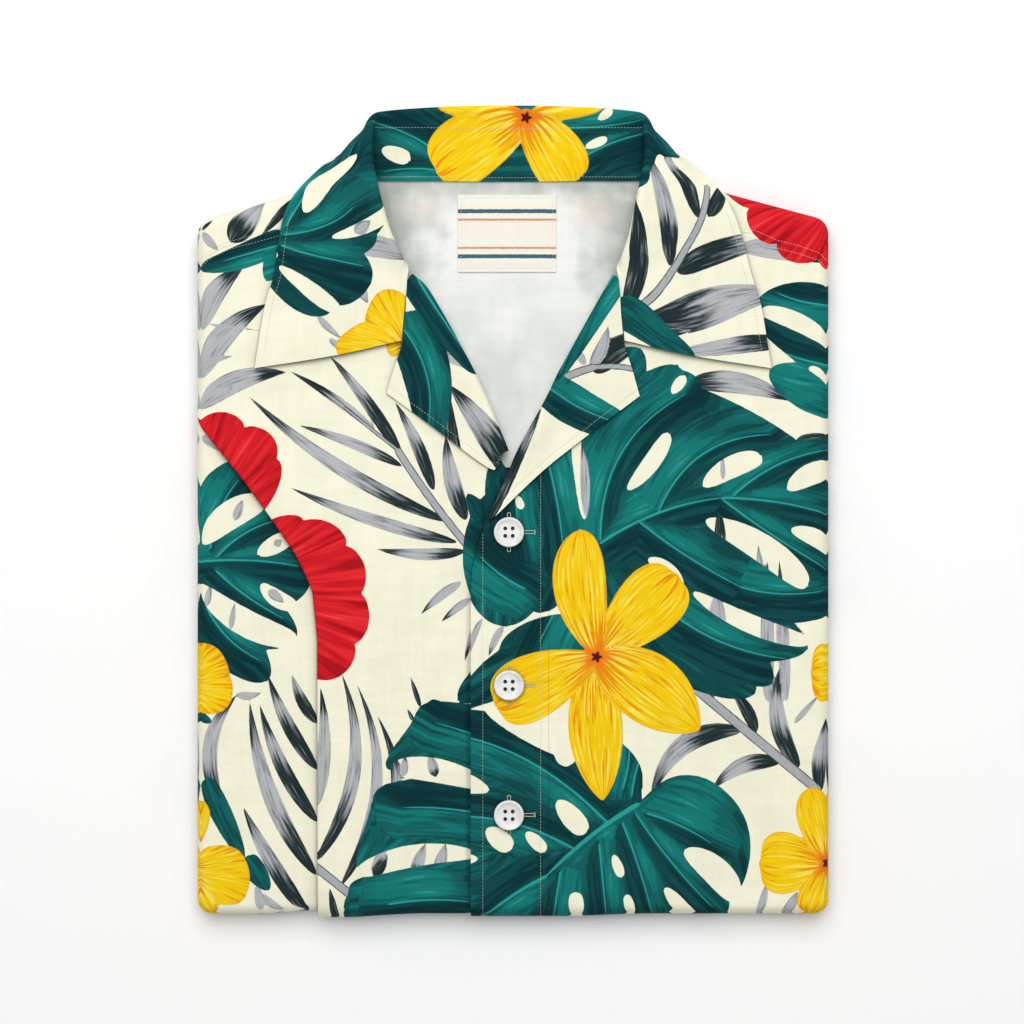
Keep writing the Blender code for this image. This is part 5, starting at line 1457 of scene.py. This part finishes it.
sewing = {
    "cloth": (1.6, 1.15, 0.2), "label": (1.5, 0.7, 0.34),   # pitch, stitch length and thread width
    "proud": 0.02, "lapelInset": 3.5, "collarInset": 3.5, "collarEnds": (6, 100), "bandStarts": 180,
    "bandInsets": (2.0, 26.5), "yokeInsets": (1.8, -2.1), "labelDrop": 0.3, "labelPoints": 40,
    "placketSpan": (0.05, 1.0, 200), "yokeSpan": (98.0, 160.0, 90),   # from, to and how many points
}


def stitchTree():   # small spindles of thread, evenly along the rows
    tree = bpy.data.node_groups.new("stitchRow", "GeometryNodeTree")
    made = tree.interface.new_socket
    made("Rows", in_out="INPUT", socket_type="NodeSocketGeometry")
    for label in ("Pitch", "Stitch Length", "Thread Width"):
        made(label, in_out="INPUT", socket_type="NodeSocketFloat")
    made("Thread", in_out="INPUT", socket_type="NodeSocketMaterial")
    made("Stitches", in_out="OUTPUT", socket_type="NodeSocketGeometry")
    given, result = tree.nodes.new("NodeGroupInput").outputs, tree.nodes.new("NodeGroupOutput").inputs
    spots = addNode(tree, "GeometryNodeCurveToPoints", {"Curve": given["Rows"], "Length": given["Pitch"]},
                    mode="LENGTH").outputs
    turned = addNode(tree, "FunctionNodeAlignRotationToVector", {"Vector": spots["Tangent"]}, axis="Z")
    stitch = addNode(tree, "GeometryNodeMeshUVSphere", {"Segments": 8, "Rings": 5, "Radius": 0.5})
    size = vectorOf(tree, given["Thread Width"], given["Thread Width"], given["Stitch Length"])
    rows = addNode(tree, "GeometryNodeInstanceOnPoints", {
        "Points": spots["Points"], "Instance": stitch.outputs["Mesh"], "Rotation": turned.outputs[0],
        "Scale": size}).outputs[0]
    whole = addNode(tree, "GeometryNodeRealizeInstances", {"Geometry": rows}).outputs[0]
    smooth = addNode(tree, "GeometryNodeSetShadeSmooth", {"Geometry": whole}).outputs[0]
    last = addNode(tree, "GeometryNodeSetMaterial", {"Geometry": smooth, "Material": given["Thread"]})
    tree.links.new(last.outputs[0], result["Stitches"])
    return tree


stitches = stitchTree()


def sewOn(name, lines, thread="thread", sizes="cloth"):
    curve = bpy.data.curves.new(name, "CURVE")
    curve.dimensions = "3D"
    for line in lines:
        spline = curve.splines.new("POLY")
        spline.points.add(len(line) - 1)
        spline.points.foreach_set("co", np.column_stack([np.array(line) * mm, np.ones(len(line))]).ravel())
    path = addObject(name + "Path", curve)
    sewn = path.modifiers.new("stitches", "NODES")
    sewn.node_group = stitches
    pitch, length, width = (size * mm for size in sewing[sizes])
    values = {"Pitch": pitch, "Stitch Length": length, "Thread Width": width, "Thread": looks[thread]}
    for item in stitches.interface.items_tree:
        if item.item_type == "SOCKET" and item.in_out == "INPUT" and item.name in values:
            sewn[item.identifier] = values[item.name]
    mesh = evaluatedMesh(path)
    mesh.name = name
    bpy.data.objects.remove(path)
    return addObject(name, mesh)


def placketRows():
    along = np.linspace(*sewing["placketSpan"])
    y = np.interp(along, np.linspace(0.0, 1.0, placket["rows"]), clothRows(0.0, placket["rows"]))
    edge = tableValue(placket["edge"], y)
    lines = []
    for line, top in zip(placket["stitches"], placket["stitchTops"]):
        share = (np.maximum(line, edge + placket["stitchInset"]) - edge) / (placket["seam"] - edge)
        x, height = placketPlace(share, along), pack["leftLift"] - placket["dimple"] + sewing["proud"]
        lines.append(place(np.stack(x, axis=-1), height)[x[1] < top])
    return lines


def yokeRows():
    lines = []
    across = np.linspace(*sewing["yokeSpan"])
    for side, seamTable in ((-1, front["seamRight"]), (1, front["seamLeft"])):
        for inset in sewing["yokeInsets"]:
            flat = np.stack([across * side, tableValue(seamTable, across) + inset], axis=1)
            lines.append(place(flat, creaseHeight(flat[:, 0], flat[:, 1]) + sewing["proud"]))
    return lines


def lapelRows(sheet):
    normals = gridNormals(sheet)
    if normals[..., 2].mean() < 0.0:   # on the sheet's upper face
        normals = -normals
    line = []
    for row in (sheet + normals * (pack["faced"] / 2 + sewing["proud"]))[2:-2]:
        wanted = travelAlong(row)[-1] - sewing["lapelInset"]
        if wanted > sewing["lapelInset"]:
            line.append(atTravel(row, wanted))
    return line


def insetLine(rows, inset):   # a line that far from the first point of each row
    return [atTravel(row, inset) for row in rows]


def collarStitches(grid):   # along both front edges, and twice along the band behind the neck
    proud = gridNormals(grid) * (pack["faced"] / 2 + sewing["proud"])
    outer, inner = (grid + proud)[:, ::-1], grid - proud
    middle = len(grid) // 2
    inner = inner if inner[middle, 5, 2] > grid[middle, 5, 2] else grid + proud
    tip, last = sewing["collarEnds"]
    lines = [insetLine(rows, sewing["collarInset"]) for rows in (outer[tip:last], outer[-last:-tip])]
    band = inner[sewing["bandStarts"]:-sewing["bandStarts"]]
    return lines + [insetLine(band, inset) for inset in sewing["bandInsets"]]


def labelRows():
    inset = labelLook["stitchInset"]
    x0, x1, y0, y1 = np.add(labelLook["box"], (inset, -inset, inset, -inset))
    corners = np.array([(x0, y0), (x1, y0), (x1, y1), (x0, y1), (x0, y0)])
    line = np.concatenate([np.linspace(a, b, sewing["labelPoints"]) for a, b in zip(corners, corners[1:])])
    level = backLevel(line[:, 0], line[:, 1]) + pack["gap"] + pack["cloth"] - sewing["labelDrop"]
    return [np.column_stack([line, level])]


button = {
    "places": ((-2.0, -10.25), (-2.0, -86.25), (-2.0, -150.75)), "radius": 7.5, "height": 2.6,
    "under": ((0.0, 1.6), (0.25, 0.8), (0.7, 0.2), (1.2, 0.0)),   # level and how far inside the radius
    "round": (0.9, 0.75), "roundDegrees": (0, 25, 50, 75, 90),   # the outer edge's height and width
    "rim": 1.1,
    "dish": ((0.05, -0.1), (0.25, 0.35), (0.68, 0.9), (0.85, 1.6), (0.95, 3.0)),   # below and inside the rim
    "hole": 1.0, "holeFloor": 0.4, "holeSpacing": 1.85, "holeSides": 20, "sides": 64, "sharp": 40.0,
    "threadWidth": 0.34, "threadPoints": 17, "threadInset": 0.4, "threadRise": 0.2,
    "loop": (0.7, 2.3),   # half width and reach
    "bar": (7.2, 12.4, 0.65), "barEnd": 0.5,   # from, to and half width
}


def turnedBody(name, profile, sides, centre, look):
    angle = np.arange(sides) * 2 * math.pi / sides
    points = np.concatenate([np.column_stack([
        centre[0] + radius * np.cos(angle), centre[1] + radius * np.sin(angle),
        np.full(sides, centre[2] + level)]) for level, radius in profile])
    faces = [tuple(range(sides))[::-1]]
    faces += [(a, d, c, b) for a, b, c, d in ringFaces(len(profile), sides)]   # rings that go up
    last = (len(profile) - 1) * sides
    faces.append(tuple(last + k for k in range(sides)))
    return meshPiece(name, points, faces, look)


def buttonSeat(x, y):
    return place(np.array([[x, y]]), pack["leftLift"] + pack["gap"])[0]


def shellPiece(name, x, y):
    seat = buttonSeat(x, y)
    radius, height = button["radius"], button["height"]
    profile = [(level, radius - inset) for level, inset in button["under"]]
    tall, wide = button["round"]
    profile += [(height - tall + tall * math.sin(angle), radius - wide + wide * math.cos(angle))
                for angle in np.radians(button["roundDegrees"])]
    profile += [(height - drop, radius - button["rim"] - inset) for drop, inset in button["dish"]]
    body = turnedBody(name, profile, button["sides"], seat, looks["shell"])
    pins = []
    for sideX, sideY in ((-1, -1), (-1, 1), (1, -1), (1, 1)):
        pin = seat + np.array([sideX, sideY, 0.0]) * button["holeSpacing"]
        straight = [(level, button["hole"]) for level in (button["holeFloor"], height + 1.0)]
        pins.append(turnedBody("pin", straight, button["holeSides"], pin, looks["shank"]))
    cutAway(body, pins, "TRANSFER")   # each hole's walls and floor take the dark shank thread's colour: the thread at the floor, and painted shade down the walls
    body.data.set_sharp_from_angle(angle=math.radians(button["sharp"]))
    return body


def threadLine(line, width, sides=8):   # a closed thread along points
    line = np.array(line, float)
    ways = unit(np.gradient(line, axis=0))
    sideways = unit(np.cross(ways, (0.0, 0.0, 1.0)))
    upward = np.cross(sideways, ways)
    angle = (np.arange(sides) * 2 * math.pi / sides)[None, :, None]
    rings = line[:, None] + width / 2 * (np.cos(angle) * sideways[:, None] + np.sin(angle) * upward[:, None])
    points = rings.reshape(-1, 3)
    faces = [tuple(range(sides)), tuple(range(len(points) - sides, len(points)))[::-1]]
    return points, faces + ringFaces(len(line), sides)


def buttonThreads():
    points, faces = [], []
    start, end, spread = button["bar"]
    wide, reach = button["loop"]
    radius = button["radius"] - button["threadInset"]
    for x, y in button["places"]:
        level = buttonSeat(x, y)[2] - pack["gap"] + button["threadRise"]
        high, low, stop = y + spread, y - spread, x + end + button["barEnd"]
        lines = [((x + start, high), (x + end, high), (x + end, low), (x + start, low)),
                 ((stop, high + spread), (stop, y), (stop, low - spread))]
        for way in (-1, 1):   # loops of the shank's thread above and below
            lines.append(((x - wide, y + way * radius), (x - wide, y + way * (radius + reach)),
                          (x + wide, y + way * (radius + reach)), (x + wide, y + way * radius)))
        for line in lines:
            path = evenLine(np.column_stack([line, np.full(len(line), level)]), button["threadPoints"])
            made = threadLine(path, button["threadWidth"])
            faces += [tuple(k + len(points) for k in face) for face in made[1]]
            points += list(made[0])
    return meshPiece("buttonThreads", np.array(points), faces, looks["thread"])


pieces = {}
pieces["folded_layers"] = foldedLayers()
pieces["back"] = backPanel()
pieces["label"] = neckLabel()
print("layers, back and label done")
pieces["front_right"] = frontRight()
pieces["front_left"] = frontLeft()
pieces["placket"] = placketPiece()
pieces["yoke_right"] = yokePiece("yokeRight", -1, front["seamRight"])
pieces["yoke_left"] = yokePiece("yokeLeft", 1, front["seamLeft"])
print("fronts, placket and yokes done")
pieces["lapel_right"], sheetRight = lapelPiece("lapelRight", lapel["rightRoll"], lapel["rightTop"],
                                               lapel["rightLow"], -1, False)
pieces["lapel_left"], sheetLeft = lapelPiece("lapelLeft", lapel["leftRoll"], lapel["leftTop"],
                                             lapel["leftLow"], 1, True)
pieces["collar"], collarGrid = collarPiece()
print("lapels and collar done")
for number, (x, y) in enumerate(button["places"], start=1):
    pieces[f"button_{number}"] = shellPiece(f"buttonShell{number}", x, y)
sewn = [
    sewOn("placketStitches", placketRows()), sewOn("yokeStitches", yokeRows()),
    sewOn("lapelStitches", [lapelRows(sheetRight), lapelRows(sheetLeft)]),
    sewOn("collarStitches", collarStitches(collarGrid)),
    sewOn("labelStitches", labelRows(), "labelThread", "label"),
    buttonThreads(),
]
print("sewing and buttons done")

for nodeName, piece in pieces.items():
    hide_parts(nodeName)
    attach(piece, "root")
for piece in sewn:
    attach(piece, "root")


studio = {
    "lens": 85.0, "sensor": 36.0, "frameWidth": 509.6, "aim": (-0.5, -0.25), "clothLevel": 18.0,
    "floorHalf": 2.6, "skyStrength": 0.4, "mainPower": 33.5, "mainPlace": (-0.06, 0.85, 1.8), "mainSize": 1.7,
}

cameraData = bpy.data.cameras.new("camera")
cameraData.lens, cameraData.sensor_width = studio["lens"], studio["sensor"]
camera = addObject("camera", cameraData)
distance = studio["frameWidth"] * studio["lens"] / studio["sensor"]
camera.location = Vector((*studio["aim"], studio["clothLevel"] + distance)) * mm
bpy.context.scene.camera = camera

half = studio["floorHalf"]
floorMesh = bpy.data.meshes.new("floor")
corners = [(-half, -half, 0), (half, -half, 0), (half, half, 0), (-half, half, 0)]
floorMesh.from_pydata(corners, [], [(0, 1, 2, 3)])
floorMesh.materials.append(looks["floor"])
addObject("floor", floorMesh)

sky = bpy.data.worlds.new("sky")
sky.use_nodes = True
skyPaint = sky.node_tree.nodes["Background"].inputs
skyPaint[0].default_value = (1.0, 1.0, 1.0, 1.0)
skyPaint[1].default_value = studio["skyStrength"]
bpy.context.scene.world = sky
mainData = bpy.data.lights.new("mainLight", "AREA")
mainData.energy, mainData.size = studio["mainPower"], studio["mainSize"]
mainLight = addObject("mainLight", mainData)
mainLight.location = studio["mainPlace"]
mainLight.rotation_euler = (Vector((0, 0, 0)) - mainLight.location).to_track_quat("-Z", "Y").to_euler()
bpy.context.scene.view_settings.view_transform = "Standard"

bpy.context.view_layer.update()
print("camera, floor and light done")
